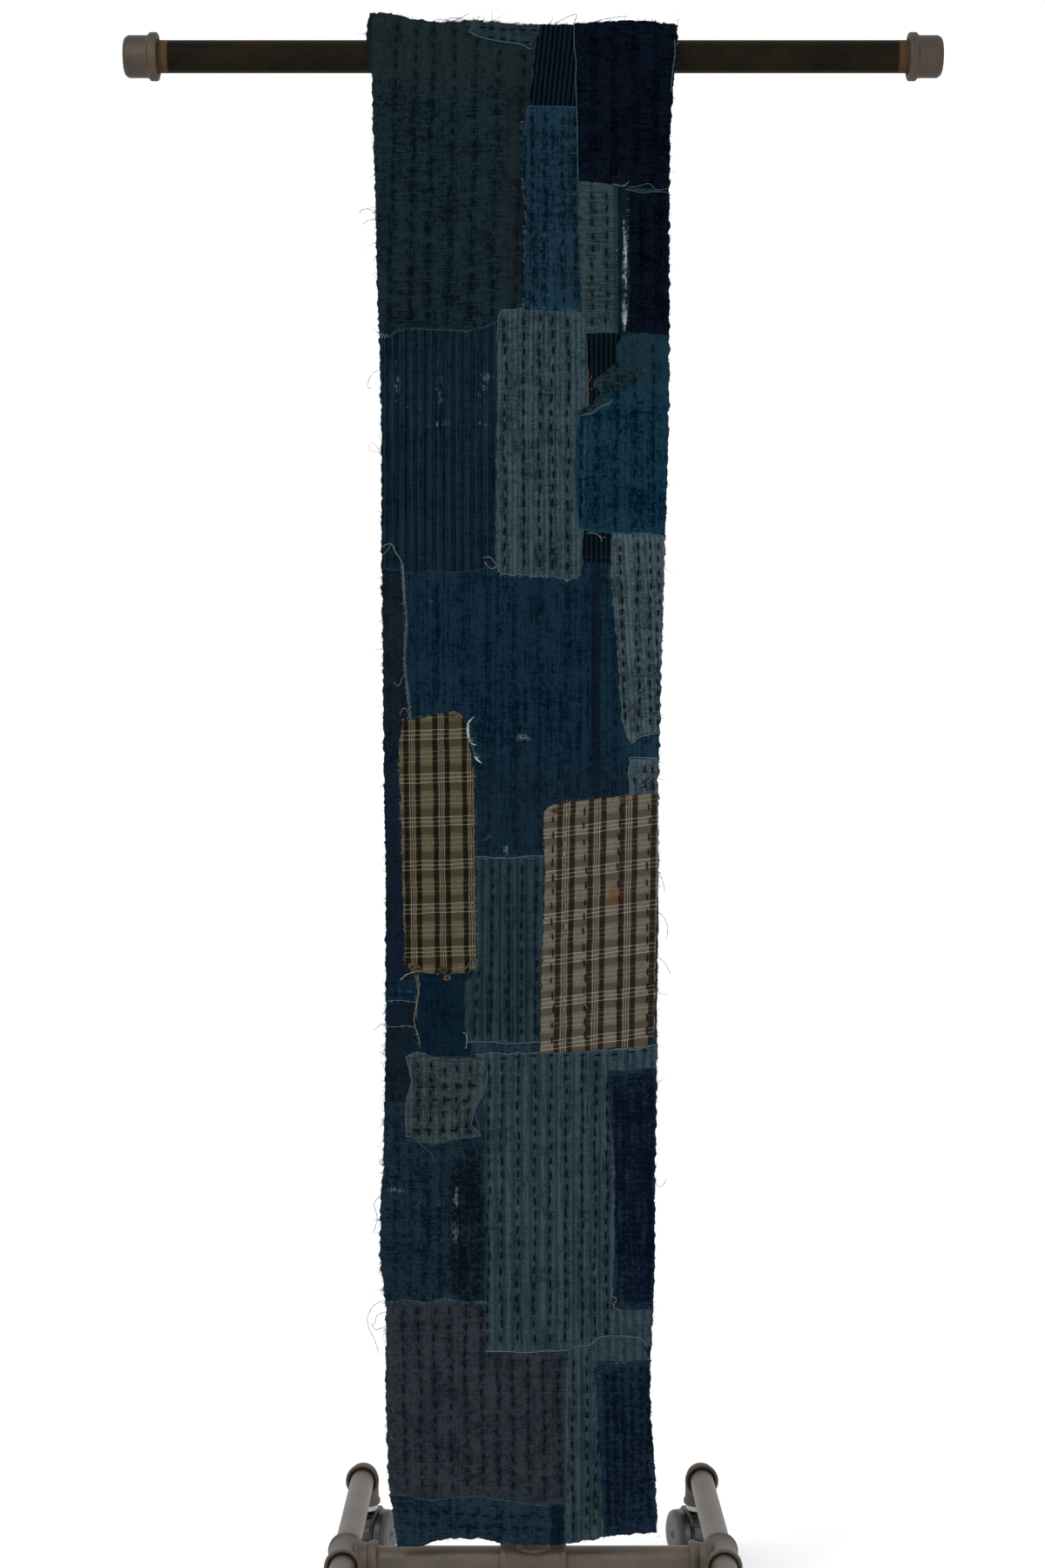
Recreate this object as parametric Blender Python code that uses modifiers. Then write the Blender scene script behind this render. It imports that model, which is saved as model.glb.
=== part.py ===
"""Boro patched cloth hung on a stand of iron pipe with casters.

Metres, +Z up. The floor is z = 0 and the post's axis is x = y = 0. The cloth faces -Y.
"""

from math import cos, pi, radians, sin

import bmesh
import bpy
import numpy as np
from mathutils import Vector

GAP = 0.0003

# The stand's driving sizes
BAR_HEIGHT = 1.652
BAR_RADIUS = 0.0167
BAR_REACH = 0.4032
PIPE_RADIUS = 0.01335
BASE_HEIGHT = 0.100
SIDE_TEE_X = 0.195
ELBOW_Y = 0.350
SOCKET_DEPTH = 0.016

# Cast fittings: the body's radius, the band round each mouth, and the reach from centre to mouth
SMALL_FITTING = {
    "body": 0.0172,
    "band": 0.0191,
    "band_width": 0.0068,
    "reach": 0.0340,
    "socket": PIPE_RADIUS + GAP,
    "recess": 0.0157,
}
LARGE_FITTING = {
    "body": 0.0205,
    "band": 0.0236,
    "band_width": 0.0080,
    "reach": 0.0380,
    "socket": BAR_RADIUS + GAP,
    "recess": 0.0190,
}
CAP_FITTING = {
    "body": 0.0216,
    "band": 0.0247,
    "band_width": 0.0090,
    "reach": 0.0352,
    "socket": BAR_RADIUS + GAP,
    "recess": 0.0190,
}
CAP_MOUTH = 0.3872
CAP_ROUNDING = 0.0042
RECESS_DEPTH = 0.0028
BAND_ROUNDING = 0.0012
BRANCH_THINNING = 0.93
ARM_START = 0.0020
BEND_RADIUS = 0.0195
BEND_STEPS = 6
ELBOW_SIDES = 18

# Twin-wheel casters
WHEEL_RADIUS = 0.0280
WHEEL_WIDTH = 0.0110
WHEEL_DISH = 0.0022
WHEEL_HUB = 0.0150
WHEEL_HUB_FALL = 0.0002
WHEEL_RIM = 0.0255
WHEEL_RIM_FALL = 0.0004
WHEEL_TREAD_FALL = 0.0026
WHEEL_MIDDLE = 0.0200
AXLE_RADIUS = 0.0030
AXLE_HALF = 0.0235
HOOD_RADIUS = 0.0300
HOOD_HALF_WIDTH = 0.0138
HOOD_FOOT = 0.0130
HOOD_EDGE = 0.0020
HOOD_BEVEL = 0.0030
FOOT_CUBE = 0.1
TRAIL = 0.0180
INWARD_TURN = radians(20)
BUSH_RADIUS = 0.0160
BUSH_PLUG = 0.0130
BUSH_PLUG_HEIGHT = 0.0120
BUSH_RING_HEIGHT = 0.0062
STEM_RADIUS = 0.0055
STEM_ENTRY = 0.0110
STEM_FOOT = 0.0393
WHEEL_STEPS = 24

# The hanging cloth
CLOTH_THICKNESS = 0.0024
CLOTH_COLUMNS = 14
CLOTH_ROWS = 76
BAR_CLEARANCE = 0.0006
CLOTH_DRIFT = 0.0055
HUMP_HEIGHT = 0.0080
HUMP_FLAT = 0.045
HUMP_FADE = 0.070
HUMP_KEPT = 0.35
FREE_LENGTH = 0.35
DRIFT_FADE = 1.2
HUMP_DROP = 1.1
LIP_HEIGHT = 0.030
LIP_WAVE = 0.0020
LIP_WAVE_RATE = 38
LIP_WAVE_START = 9

# Height of a level, and the cloth's left and right edges there
SIDE_EDGES = np.array(
    [
        # height, left, right
        (0.106, -0.1380, 0.1273),
        (0.136, -0.1415, 0.1273),
        (0.186, -0.1486, 0.1255),
        (0.275, -0.1513, 0.1193),
        (0.364, -0.1509, 0.1229),
        (0.416, -0.1574, 0.1246),
        (0.481, -0.1564, 0.1246),
        (0.503, -0.1538, 0.1249),
        (0.632, -0.1513, 0.1273),
        (0.811, -0.1513, 0.1291),
        (0.896, -0.1531, 0.1282),
        (1.034, -0.1544, 0.1318),
        (1.150, -0.1558, 0.1354),
        (1.257, -0.1558, 0.1389),
        (1.347, -0.1576, 0.1398),
        (1.408, -0.1602, 0.1398),
        (1.499, -0.1620, 0.1398),
        (1.568, -0.1644, 0.1407),
        (1.624, -0.1656, 0.1443),
        (1.666, -0.1719, 0.1479),
        (1.699, -0.1674, 0.1479),
    ]
)
# Share of the width from the left, and the heights of the raw top edge and the bottom edge there
END_EDGES = np.array(
    [
        # across, top, bottom
        (0.00, 1.6935, 0.1185),
        (0.09, 1.6909, 0.1187),
        (0.18, 1.6837, 0.1255),
        (0.26, 1.6824, 0.1273),
        (0.36, 1.6829, 0.1285),
        (0.48, 1.6790, 0.1220),
        (0.60, 1.6778, 0.1215),
        (0.70, 1.6800, 0.1260),
        (0.80, 1.6829, 0.1318),
        (0.86, 1.6844, 0.1332),
        (0.94, 1.6819, 0.1344),
        (1.00, 1.6795, 0.1349),
    ]
)
# Soft troughs and ridges: middle, half size across and up, lean, and the rise towards the front
FOLDS = np.array(
    [
        # x, height, half_wide, half_high, lean, rise
        (-0.118, 1.480, 0.026, 0.190, 0.03, 0.0022),
        (0.090, 1.330, 0.030, 0.170, -0.05, 0.0020),
        (-0.060, 1.190, 0.034, 0.150, 0.04, -0.0018),
        (0.028, 1.130, 0.022, 0.140, 0.02, 0.0022),
        (-0.100, 0.930, 0.030, 0.210, -0.03, 0.0026),
        (0.085, 0.900, 0.036, 0.180, 0.06, -0.0020),
        (-0.020, 0.740, 0.030, 0.190, 0.02, 0.0024),
        (0.095, 0.640, 0.026, 0.170, -0.04, 0.0028),
        (-0.115, 0.560, 0.024, 0.090, 0.05, 0.0030),
        (-0.095, 0.425, 0.050, 0.020, 0.00, 0.0026),
        (0.010, 0.420, 0.028, 0.170, -0.02, 0.0024),
        (0.080, 0.300, 0.030, 0.130, 0.05, 0.0030),
        (-0.080, 0.230, 0.034, 0.090, -0.04, 0.0032),
        (-0.060, 0.140, 0.060, 0.018, 0.02, 0.0024),
    ]
)
# Edges that curl away from the front: the side, middle height, half height, width and depth
CURLS = np.array(
    [
        # side, height, half_high, width, depth
        (-1, 1.690, 0.018, 0.016, 0.0034),
        (-1, 0.450, 0.060, 0.014, 0.0024),
        (1, 1.250, 0.180, 0.012, 0.0020),
        (1, 0.190, 0.080, 0.016, 0.0030),
    ]
)


def new_collection(name):
    collection = bpy.data.collections.new(name)
    bpy.context.scene.collection.children.link(collection)
    return collection


def paint(name, colour, roughness, metallic):
    material = bpy.data.materials.new(name)
    material.use_nodes = True
    shader = material.node_tree.nodes["Principled BSDF"]
    shader.inputs["Base Color"].default_value = (*colour, 1)
    shader.inputs["Roughness"].default_value = roughness
    shader.inputs["Metallic"].default_value = metallic
    return material


def place(name, mesh, material, location, direction=(0, 0, 1), collection=None, parent=None):
    """Links a mesh as an object at a location, with its own Z axis along a direction."""
    obj = bpy.data.objects.new(name, mesh)
    if material:
        mesh.materials.append(material)
    (collection or PARTS).objects.link(obj)
    obj.location = location
    turn = Vector((0, 0, 1)).rotation_difference(Vector(direction))
    obj.rotation_euler = turn.to_euler()
    obj.parent = parent
    return obj


def rod(name, radius, start, end, material, sides=16, parent=None):
    """A round bar between two points."""
    start, end = Vector(start), Vector(end)
    bm = bmesh.new()
    bmesh.ops.create_cone(
        bm,
        cap_ends=True,
        segments=sides,
        radius1=radius,
        radius2=radius,
        depth=(end - start).length,
    )
    mesh = bpy.data.meshes.new(name)
    bm.to_mesh(mesh)
    bm.free()
    return place(name, mesh, material, (start + end) / 2, end - start, parent=parent)


def turned(name, rows, location, direction, material, steps=16, loop=False, **options):
    """A profile of (radius, height) rows turned about a direction. A loop leaves a bore open."""
    count = len(rows)
    links = [(i, i + 1) for i in range(count - 1)]
    if loop:
        links.append((count - 1, 0))
    mesh = bpy.data.meshes.new(name)
    mesh.from_pydata([(radius, 0, height) for radius, height in rows], links, [])
    obj = place(name, mesh, material, location, direction, **options)
    screw = obj.modifiers.new("Turn", "SCREW")
    screw.steps = steps
    screw.render_steps = steps
    screw.use_merge_vertices = True
    screw.merge_threshold = 0.00001
    return obj


def combine(obj, other, operation):
    other.hide_render = True
    other.display_type = "WIRE"
    boolean = obj.modifiers.new(operation.title(), "BOOLEAN")
    boolean.operation = operation
    boolean.solver = "EXACT"
    boolean.object = other


def mouth_rows(size):
    """(radius, distance from centre) rows: the socket's floor, its wall, the recess, then the band."""
    reach, band = size["reach"], size["band"]
    floor = reach - SOCKET_DEPTH - GAP
    under = reach - size["band_width"]
    return [
        (size["socket"], floor),
        (size["socket"], reach - RECESS_DEPTH),
        (size["recess"], reach - RECESS_DEPTH),
        (size["recess"], reach),
        (band - BAND_ROUNDING, reach),
        (band, reach - BAND_ROUNDING),
        (band, under),
        (size["body"], under),
    ]


def on_axis(rows):
    """The same rows with both ends brought in to the axis, which closes the turned surface."""
    return [(0, rows[0][1]), *rows, (0, rows[-1][1])]


def tee(name, centre, run, branch, run_size, branch_size, material):
    """A straight run with a mouth at each end, and a slightly thinner arm joined to its side."""
    half = mouth_rows(run_size)
    other_half = [(radius, -distance) for radius, distance in reversed(half)]
    body = turned(name, on_axis(half + other_half), centre, run, material)
    mouth = mouth_rows(branch_size)
    thin = branch_size["body"] * BRANCH_THINNING
    arm_rows = [(radius, height) for radius, height in mouth[4:-1]]
    arm_rows += [(thin, mouth[-1][1]), (thin, ARM_START)]
    above = mouth[3][1] + BAND_ROUNDING
    hole_rows = [(mouth[3][0], above), mouth[2], mouth[1], mouth[0]]
    for rows, label, operation in (
        (arm_rows, "arm", "UNION"),
        (hole_rows, "socket", "DIFFERENCE"),
    ):
        tool = turned(
            f"{name}_{label}", on_axis(rows), centre, branch, None, collection=CUTTERS
        )
        combine(body, tool, operation)


def elbow(name, centre, first, second, size, material):
    """Rings of the mouth's rows, lofted from one mouth round the bend to the other."""
    first, second = Vector(first), Vector(second)
    side = first.cross(second)
    rows = mouth_rows(size)
    rings = [(first * distance, second, radius) for radius, distance in rows]
    hub = (first + second) * BEND_RADIUS
    for step in range(BEND_STEPS + 1):
        angle = pi / 2 * step / BEND_STEPS
        inward = second * cos(angle) + first * sin(angle)
        rings.append((hub - inward * BEND_RADIUS, inward, size["body"]))
    rings += [(second * distance, first, radius) for radius, distance in reversed(rows)]
    bm = bmesh.new()
    loops = []
    for middle, inward, radius in rings:
        turns = [2 * pi * step / ELBOW_SIDES for step in range(ELBOW_SIDES)]
        spokes = [side * cos(turn) + inward * sin(turn) for turn in turns]
        loops.append([bm.verts.new(middle + spoke * radius) for spoke in spokes])
    for near, far in zip(loops, loops[1:]):
        for i in range(ELBOW_SIDES):
            bm.faces.new((near[i - 1], near[i], far[i], far[i - 1]))
    bm.faces.new(loops[0])
    bm.faces.new(loops[-1])
    bmesh.ops.recalc_face_normals(bm, faces=bm.faces)
    mesh = bpy.data.meshes.new(name)
    bm.to_mesh(mesh)
    bm.free()
    return place(name, mesh, material, centre)


def end_cap(side):
    """A malleable cap on the bar's end, with a thick band at its mouth and a rounded end."""
    shoulder = CAP_FITTING["body"] - CAP_ROUNDING
    rows = [
        *mouth_rows(CAP_FITTING),
        (CAP_FITTING["body"], CAP_ROUNDING),
        (shoulder, 0),
    ]
    name = "end_cap_left" if side < 0 else "end_cap_right"
    end_x = side * (CAP_MOUTH + CAP_FITTING["reach"])
    place_at = (end_x, 0, BAR_HEIGHT)
    return turned(name, on_axis(rows), place_at, (-side, 0, 0), IRON, steps=24)


def stand():
    """The bar with its tee and caps, the post, and the H of pipe and fittings on the floor."""
    small, large = SMALL_FITTING, LARGE_FITTING
    small_end = small["reach"] - SOCKET_DEPTH
    large_end = large["reach"] - SOCKET_DEPTH
    tee("top_tee", (0, 0, BAR_HEIGHT), (1, 0, 0), (0, 0, -1), large, small, IRON)
    for side, word in ((-1, "left"), (1, "right")):
        rod(
            f"bar_{word}",
            BAR_RADIUS,
            (side * large_end, 0, BAR_HEIGHT),
            (side * BAR_REACH, 0, BAR_HEIGHT),
            BLACK_BAR,
            sides=24,
        )
        end_cap(side)
    rod(
        "post",
        PIPE_RADIUS,
        (0, 0, BASE_HEIGHT + small_end),
        (0, 0, BAR_HEIGHT - small_end),
        PIPE_IRON,
    )
    tee("base_tee", (0, 0, BASE_HEIGHT), (1, 0, 0), (0, 0, 1), small, small, IRON)
    for side, word in ((-1, "left"), (1, "right")):
        x = side * SIDE_TEE_X
        rod(
            f"cross_pipe_{word}",
            PIPE_RADIUS,
            (side * small_end, 0, BASE_HEIGHT),
            (x - side * small_end, 0, BASE_HEIGHT),
            PIPE_IRON,
        )
        inward = (-side, 0, 0)
        middle = (x, 0, BASE_HEIGHT)
        tee(f"side_tee_{word}", middle, (0, 1, 0), inward, small, small, IRON)
        for way, end in ((-1, "front"), (1, "back")):
            rod(
                f"leg_{end}_{word}",
                PIPE_RADIUS,
                (x, way * small_end, BASE_HEIGHT),
                (x, way * (ELBOW_Y - small_end), BASE_HEIGHT),
                PIPE_IRON,
            )
            corner = (x, way * ELBOW_Y, BASE_HEIGHT)
            elbow(f"elbow_{end}_{word}", corner, (0, -way, 0), (0, 0, -1), small, IRON)
            bush(f"bush_{end}_{word}", x, way * ELBOW_Y)
            turn = side * INWARD_TURN if way > 0 else pi - side * INWARD_TURN
            caster(f"{end}_{word}", turn, x, way * ELBOW_Y)


def bush(name, x, y):
    """The light ring under an elbow, with its plug up in the elbow's socket and a hole for the stem."""
    mouth = BASE_HEIGHT - SMALL_FITTING["reach"]
    top = mouth + BUSH_PLUG_HEIGHT
    ring_top = mouth - GAP
    ring_foot = mouth - BUSH_RING_HEIGHT
    hole = STEM_RADIUS + GAP
    rows = [
        (hole, top),
        (BUSH_PLUG, top),
        (BUSH_PLUG, ring_top),
        (BUSH_RADIUS, ring_top),
        (BUSH_RADIUS, ring_foot),
        (hole, ring_foot),
    ]
    turned(name, rows, (x, y, 0), (0, 0, 1), ZINC, loop=True)


def hood(name, axis):
    """A barrel between the wheels, cut flat above the floor, with a hole for the axle."""
    stem_top = BASE_HEIGHT - SMALL_FITTING["reach"] + STEM_ENTRY
    rows = [
        (0, HOOD_HALF_WIDTH),
        (HOOD_RADIUS - HOOD_EDGE, HOOD_HALF_WIDTH),
        (HOOD_RADIUS, HOOD_HALF_WIDTH - HOOD_BEVEL),
        (HOOD_RADIUS, -HOOD_HALF_WIDTH + HOOD_BEVEL),
        (HOOD_RADIUS - HOOD_EDGE, -HOOD_HALF_WIDTH),
        (0, -HOOD_HALF_WIDTH),
    ]
    centre = (0, TRAIL, WHEEL_RADIUS)
    barrel = turned(name, rows, centre, (1, 0, 0), BLACK_PLASTIC, steps=24, parent=axis)
    axle_hole = rod(
        f"{name}_axle_hole",
        AXLE_RADIUS + GAP,
        (-HOOD_HALF_WIDTH * 2, TRAIL, WHEEL_RADIUS),
        (HOOD_HALF_WIDTH * 2, TRAIL, WHEEL_RADIUS),
        None,
        sides=12,
        parent=axis,
    )
    foot = bmesh.new()
    bmesh.ops.create_cube(foot, size=FOOT_CUBE)
    block = bpy.data.meshes.new(f"{name}_foot_cut")
    foot.to_mesh(block)
    foot.free()
    cut = place(
        f"{name}_foot_cut",
        block,
        None,
        (0, TRAIL, HOOD_FOOT - FOOT_CUBE / 2),
        collection=CUTTERS,
        parent=axis,
    )
    stem = rod(
        f"{name}_stem",
        STEM_RADIUS,
        (0, 0, STEM_FOOT),
        (0, 0, stem_top),
        None,
        sides=14,
        parent=axis,
    )
    for tool, operation in ((stem, "UNION"), (axle_hole, "DIFFERENCE"), (cut, "DIFFERENCE")):
        for collection in tool.users_collection:
            collection.objects.unlink(tool)
        CUTTERS.objects.link(tool)
        combine(barrel, tool, operation)


def wheel(name, way, axis):
    """A flat tread with a dished outer face and a bore. The bore's far side is the outer one."""
    half = WHEEL_WIDTH / 2
    bore = AXLE_RADIUS + GAP
    rows = [
        (bore, half + WHEEL_DISH),
        (WHEEL_HUB, half + WHEEL_DISH - WHEEL_HUB_FALL),
        (WHEEL_RIM, half - WHEEL_RIM_FALL),
        (WHEEL_RADIUS, half - WHEEL_TREAD_FALL),
        (WHEEL_RADIUS, -half),
        (bore, -half),
    ]
    # A facet, and not a corner, is lowest: each corner's ring is turned by half a step and
    # pushed out, so that the facet's middle lies at the wheel's radius.
    out = 1 / cos(pi / WHEEL_STEPS)
    rows = [(radius * out if radius > bore else radius, height) for radius, height in rows]
    obj = turned(
        name,
        rows,
        (way * WHEEL_MIDDLE, TRAIL, WHEEL_RADIUS),
        (way, 0, 0),
        WHEEL_GREY,
        steps=WHEEL_STEPS,
        loop=True,
        parent=axis,
    )
    obj.rotation_euler.rotate_axis("Z", pi / WHEEL_STEPS)


def caster(label, turn, x, y):
    """A swivel empty on the stem's axis that carries the hood, the axle and two wheels."""
    axis = bpy.data.objects.new(f"swivel_{label}", None)
    PARTS.objects.link(axis)
    axis.location = (x, y, 0)
    axis.rotation_euler.z = turn
    hood(f"hood_{label}", axis)
    rod(
        f"axle_{label}",
        AXLE_RADIUS,
        (-AXLE_HALF, TRAIL, WHEEL_RADIUS),
        (AXLE_HALF, TRAIL, WHEEL_RADIUS),
        ZINC,
        sides=12,
        parent=axis,
    )
    wheel(f"wheel_{label}_a", -1, axis)
    wheel(f"wheel_{label}_b", 1, axis)


def smooth_step(value):
    value = np.clip(value, 0, 1)
    return value * value * (3 - 2 * value)


def bump(distance):
    """A soft rise: 1 at the middle, falling smoothly to 0 at a distance of 1."""
    return smooth_step(1 - np.abs(distance))


def cloth_depth(x, z, left, right):
    """How far back (+Y) the cloth's middle layer lies: against the bar, over the tee, then free."""
    depth = np.full(x.shape, -(BAR_RADIUS + BAR_CLEARANCE + CLOTH_THICKNESS / 2))
    below = np.clip((BAR_HEIGHT - z) / FREE_LENGTH, 0, None)
    depth -= CLOTH_DRIFT * (1 - np.exp(-below / DRIFT_FADE))
    hump = 1 - smooth_step((np.abs(x) - HUMP_FLAT) / HUMP_FADE)
    kept = HUMP_KEPT + (1 - HUMP_KEPT) * np.exp(-((below / HUMP_DROP) ** 2))
    depth -= HUMP_HEIGHT * hump * kept
    for fold_x, height, half_wide, half_high, lean, rise in FOLDS:
        across = (x - fold_x - lean * (z - height)) / half_wide
        depth -= rise * bump(across) * bump((z - height) / half_high)
    for side, height, half_high, width, curl in CURLS:
        from_edge = x - left if side < 0 else right - x
        depth += curl * smooth_step(1 - from_edge / width) * bump((z - height) / half_high)
    above = np.clip((z - BAR_HEIGHT - BAR_RADIUS) / LIP_HEIGHT, 0, 1)
    return depth - LIP_WAVE * above**2 * np.sin(LIP_WAVE_START + LIP_WAVE_RATE * x)


def cloth():
    """A grid between the edges' tables, laid on cloth_depth, and thickened to a quilted cloth."""
    across = np.linspace(0, 1, CLOTH_COLUMNS + 1)[None, :]
    up = np.linspace(0, 1, CLOTH_ROWS + 1)[:, None]
    top = np.interp(across, END_EDGES[:, 0], END_EDGES[:, 1])
    bottom = np.interp(across, END_EDGES[:, 0], END_EDGES[:, 2])
    z = bottom + (top - bottom) * up
    left = np.interp(z, SIDE_EDGES[:, 0], SIDE_EDGES[:, 1])
    right = np.interp(z, SIDE_EDGES[:, 0], SIDE_EDGES[:, 2])
    x = left + (right - left) * across
    y = cloth_depth(x, z, left, right)
    points = np.stack([x, y, z], axis=-1).reshape(-1, 3)
    wide = CLOTH_COLUMNS + 1
    faces = [
        (i * wide + j, i * wide + j + 1, (i + 1) * wide + j + 1, (i + 1) * wide + j)
        for i in range(CLOTH_ROWS)
        for j in range(CLOTH_COLUMNS)
    ]
    mesh = bpy.data.meshes.new("cloth")
    mesh.from_pydata(points.tolist(), [], faces)
    sheet = place("cloth", mesh, INDIGO, (0, 0, 0))
    solid = sheet.modifiers.new("Thickness", "SOLIDIFY")
    solid.thickness = CLOTH_THICKNESS
    solid.offset = 0
    return sheet


for old in list(bpy.data.objects):
    bpy.data.objects.remove(old, do_unlink=True)
PARTS = new_collection("boro_cloth_on_pipe_stand")
CUTTERS = new_collection("cutters")
INDIGO = paint("boro cloth", (0.030, 0.055, 0.080), 0.95, 0.0)
BLACK_BAR = paint("black bar", (0.010, 0.009, 0.008), 0.35, 0.3)
IRON = paint("cast iron fitting", (0.125, 0.105, 0.085), 0.55, 0.6)
PIPE_IRON = paint("iron pipe", (0.130, 0.115, 0.100), 0.50, 0.6)
ZINC = paint("zinc", (0.62, 0.62, 0.58), 0.35, 0.9)
BLACK_PLASTIC = paint("black plastic", (0.012, 0.012, 0.014), 0.35, 0.0)
WHEEL_GREY = paint("grey wheel", (0.060, 0.058, 0.066), 0.40, 0.0)
stand()
cloth()
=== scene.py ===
"""Looks of a boro cloth, patched and stitched, hung on a stand of iron pipe with casters.

Metres, +Z up, the cloth faces -Y. Tables of the cloth are in millimetres: x from the post's
axis and z above the floor.
"""

from math import cos, pi, radians, sin

import bpy
import numpy as np
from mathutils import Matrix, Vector
from mathutils.bvhtree import BVHTree


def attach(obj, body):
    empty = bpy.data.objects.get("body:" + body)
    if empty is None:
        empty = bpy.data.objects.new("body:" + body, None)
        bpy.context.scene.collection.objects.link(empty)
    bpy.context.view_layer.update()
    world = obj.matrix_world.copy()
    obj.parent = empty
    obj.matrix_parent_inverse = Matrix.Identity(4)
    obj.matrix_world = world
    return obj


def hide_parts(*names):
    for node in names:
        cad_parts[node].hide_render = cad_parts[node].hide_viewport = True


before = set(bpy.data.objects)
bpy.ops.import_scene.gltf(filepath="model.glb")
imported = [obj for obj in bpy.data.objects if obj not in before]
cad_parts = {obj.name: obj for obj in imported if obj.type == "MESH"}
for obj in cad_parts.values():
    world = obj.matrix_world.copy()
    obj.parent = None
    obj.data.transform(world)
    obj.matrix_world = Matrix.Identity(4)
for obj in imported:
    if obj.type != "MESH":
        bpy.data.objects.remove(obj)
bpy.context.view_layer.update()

MM = 0.001
CHANCE = np.random.default_rng(27)

CAMERA_PLACE = (-0.011, -2.85, 0.90055)
LENS, SENSOR = 63.33, 36
SKY = 1.08
# name, place, aim, size, power
LIGHTS = [
    ("key", (-1.7, -2.3, 2.7), (0, 0, 0.95), 1.1, 62),
    ("fill", (2.2, -1.9, 0.9), (0, 0, 0.9), 1.4, 16),
]
FLOOR_HALF = 8
# Outer radii of the pipes; heights of the bar and the base; the base's reach to each side and to
# the front and back
PIPE, BAR = 0.01335, 0.0167
BAR_Z, BASE_Z, SIDE_X, CORNER_Y = 1.652, 0.100, 0.195, 0.350
BAR_END, CAP_END = 0.4032, 0.3872 + 0.0352


# ---------------------------------------------------------------- camera, stage and light
def camera():
    """A long lens level with the middle of the cloth, square to its front."""
    data = bpy.data.cameras.new("camera")
    data.sensor_fit = "VERTICAL"
    data.sensor_height = SENSOR
    data.lens = LENS
    obj = bpy.data.objects.new("camera", data)
    obj.location = CAMERA_PLACE
    obj.rotation_euler = (pi / 2, 0, 0)
    bpy.context.scene.collection.objects.link(obj)
    bpy.context.scene.camera = obj


def soft_box(name, place, aim, size, power):
    """A square area light that faces a point."""
    data = bpy.data.lights.new(name, "AREA")
    data.shape = "SQUARE"
    data.size = size
    data.energy = power
    obj = bpy.data.objects.new(name, data)
    obj.location = place
    way = Vector(aim) - Vector(place)
    obj.rotation_euler = way.to_track_quat("-Z", "Y").to_euler()
    bpy.context.scene.collection.objects.link(obj)


def studio():
    """White surroundings, a key light above on the left, and a weaker one low on the right."""
    scene = bpy.context.scene
    scene.view_settings.view_transform = "Standard"
    world = bpy.data.worlds.new("white studio")
    world.use_nodes = True
    background = world.node_tree.nodes["Background"]
    background.inputs["Color"].default_value = (1, 1, 1, 1)
    background.inputs["Strength"].default_value = SKY
    scene.world = world
    for row in LIGHTS:
        soft_box(*row)


# ---------------------------------------------------------------- shader writing
class Value:
    """A shader socket whose sums and products add Math nodes."""

    def __init__(self, finish, socket):
        self.finish = finish
        self.socket = socket

    def math(self, operation, *values):
        return self.finish.add("Math", {"operation": operation}, dict(enumerate(values)))

    def __add__(self, other):
        return self.math("ADD", self, other)

    __radd__ = __add__

    def __mul__(self, other):
        return self.math("MULTIPLY", self, other)

    __rmul__ = __mul__

    def __sub__(self, other):
        return self.math("SUBTRACT", self, other)

    def __rsub__(self, other):
        return self.math("SUBTRACT", other, self)

    def __truediv__(self, other):
        return self.math("DIVIDE", self, other)

    def __abs__(self):
        return self.math("ABSOLUTE", self)

    def wave(self):
        return self.math("SINE", self)

    def part(self):
        """What is left over above the whole number, for a pattern that repeats."""
        return self.math("FRACT", self)

    def rise(self, low, high):
        """0 below low, 1 above high, and a soft step between; high may be the smaller."""
        if low > high:
            return 1 - self.rise(high, low)
        sockets = {"Value": self, "From Min": low, "From Max": high}
        return self.finish.add("MapRange", {"interpolation_type": "SMOOTHSTEP"}, sockets)

    def line(self, middle, half, soft):
        """1 within half of the middle, falling to 0 over soft."""
        return abs(self - middle).rise(half + soft, half)


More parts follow.
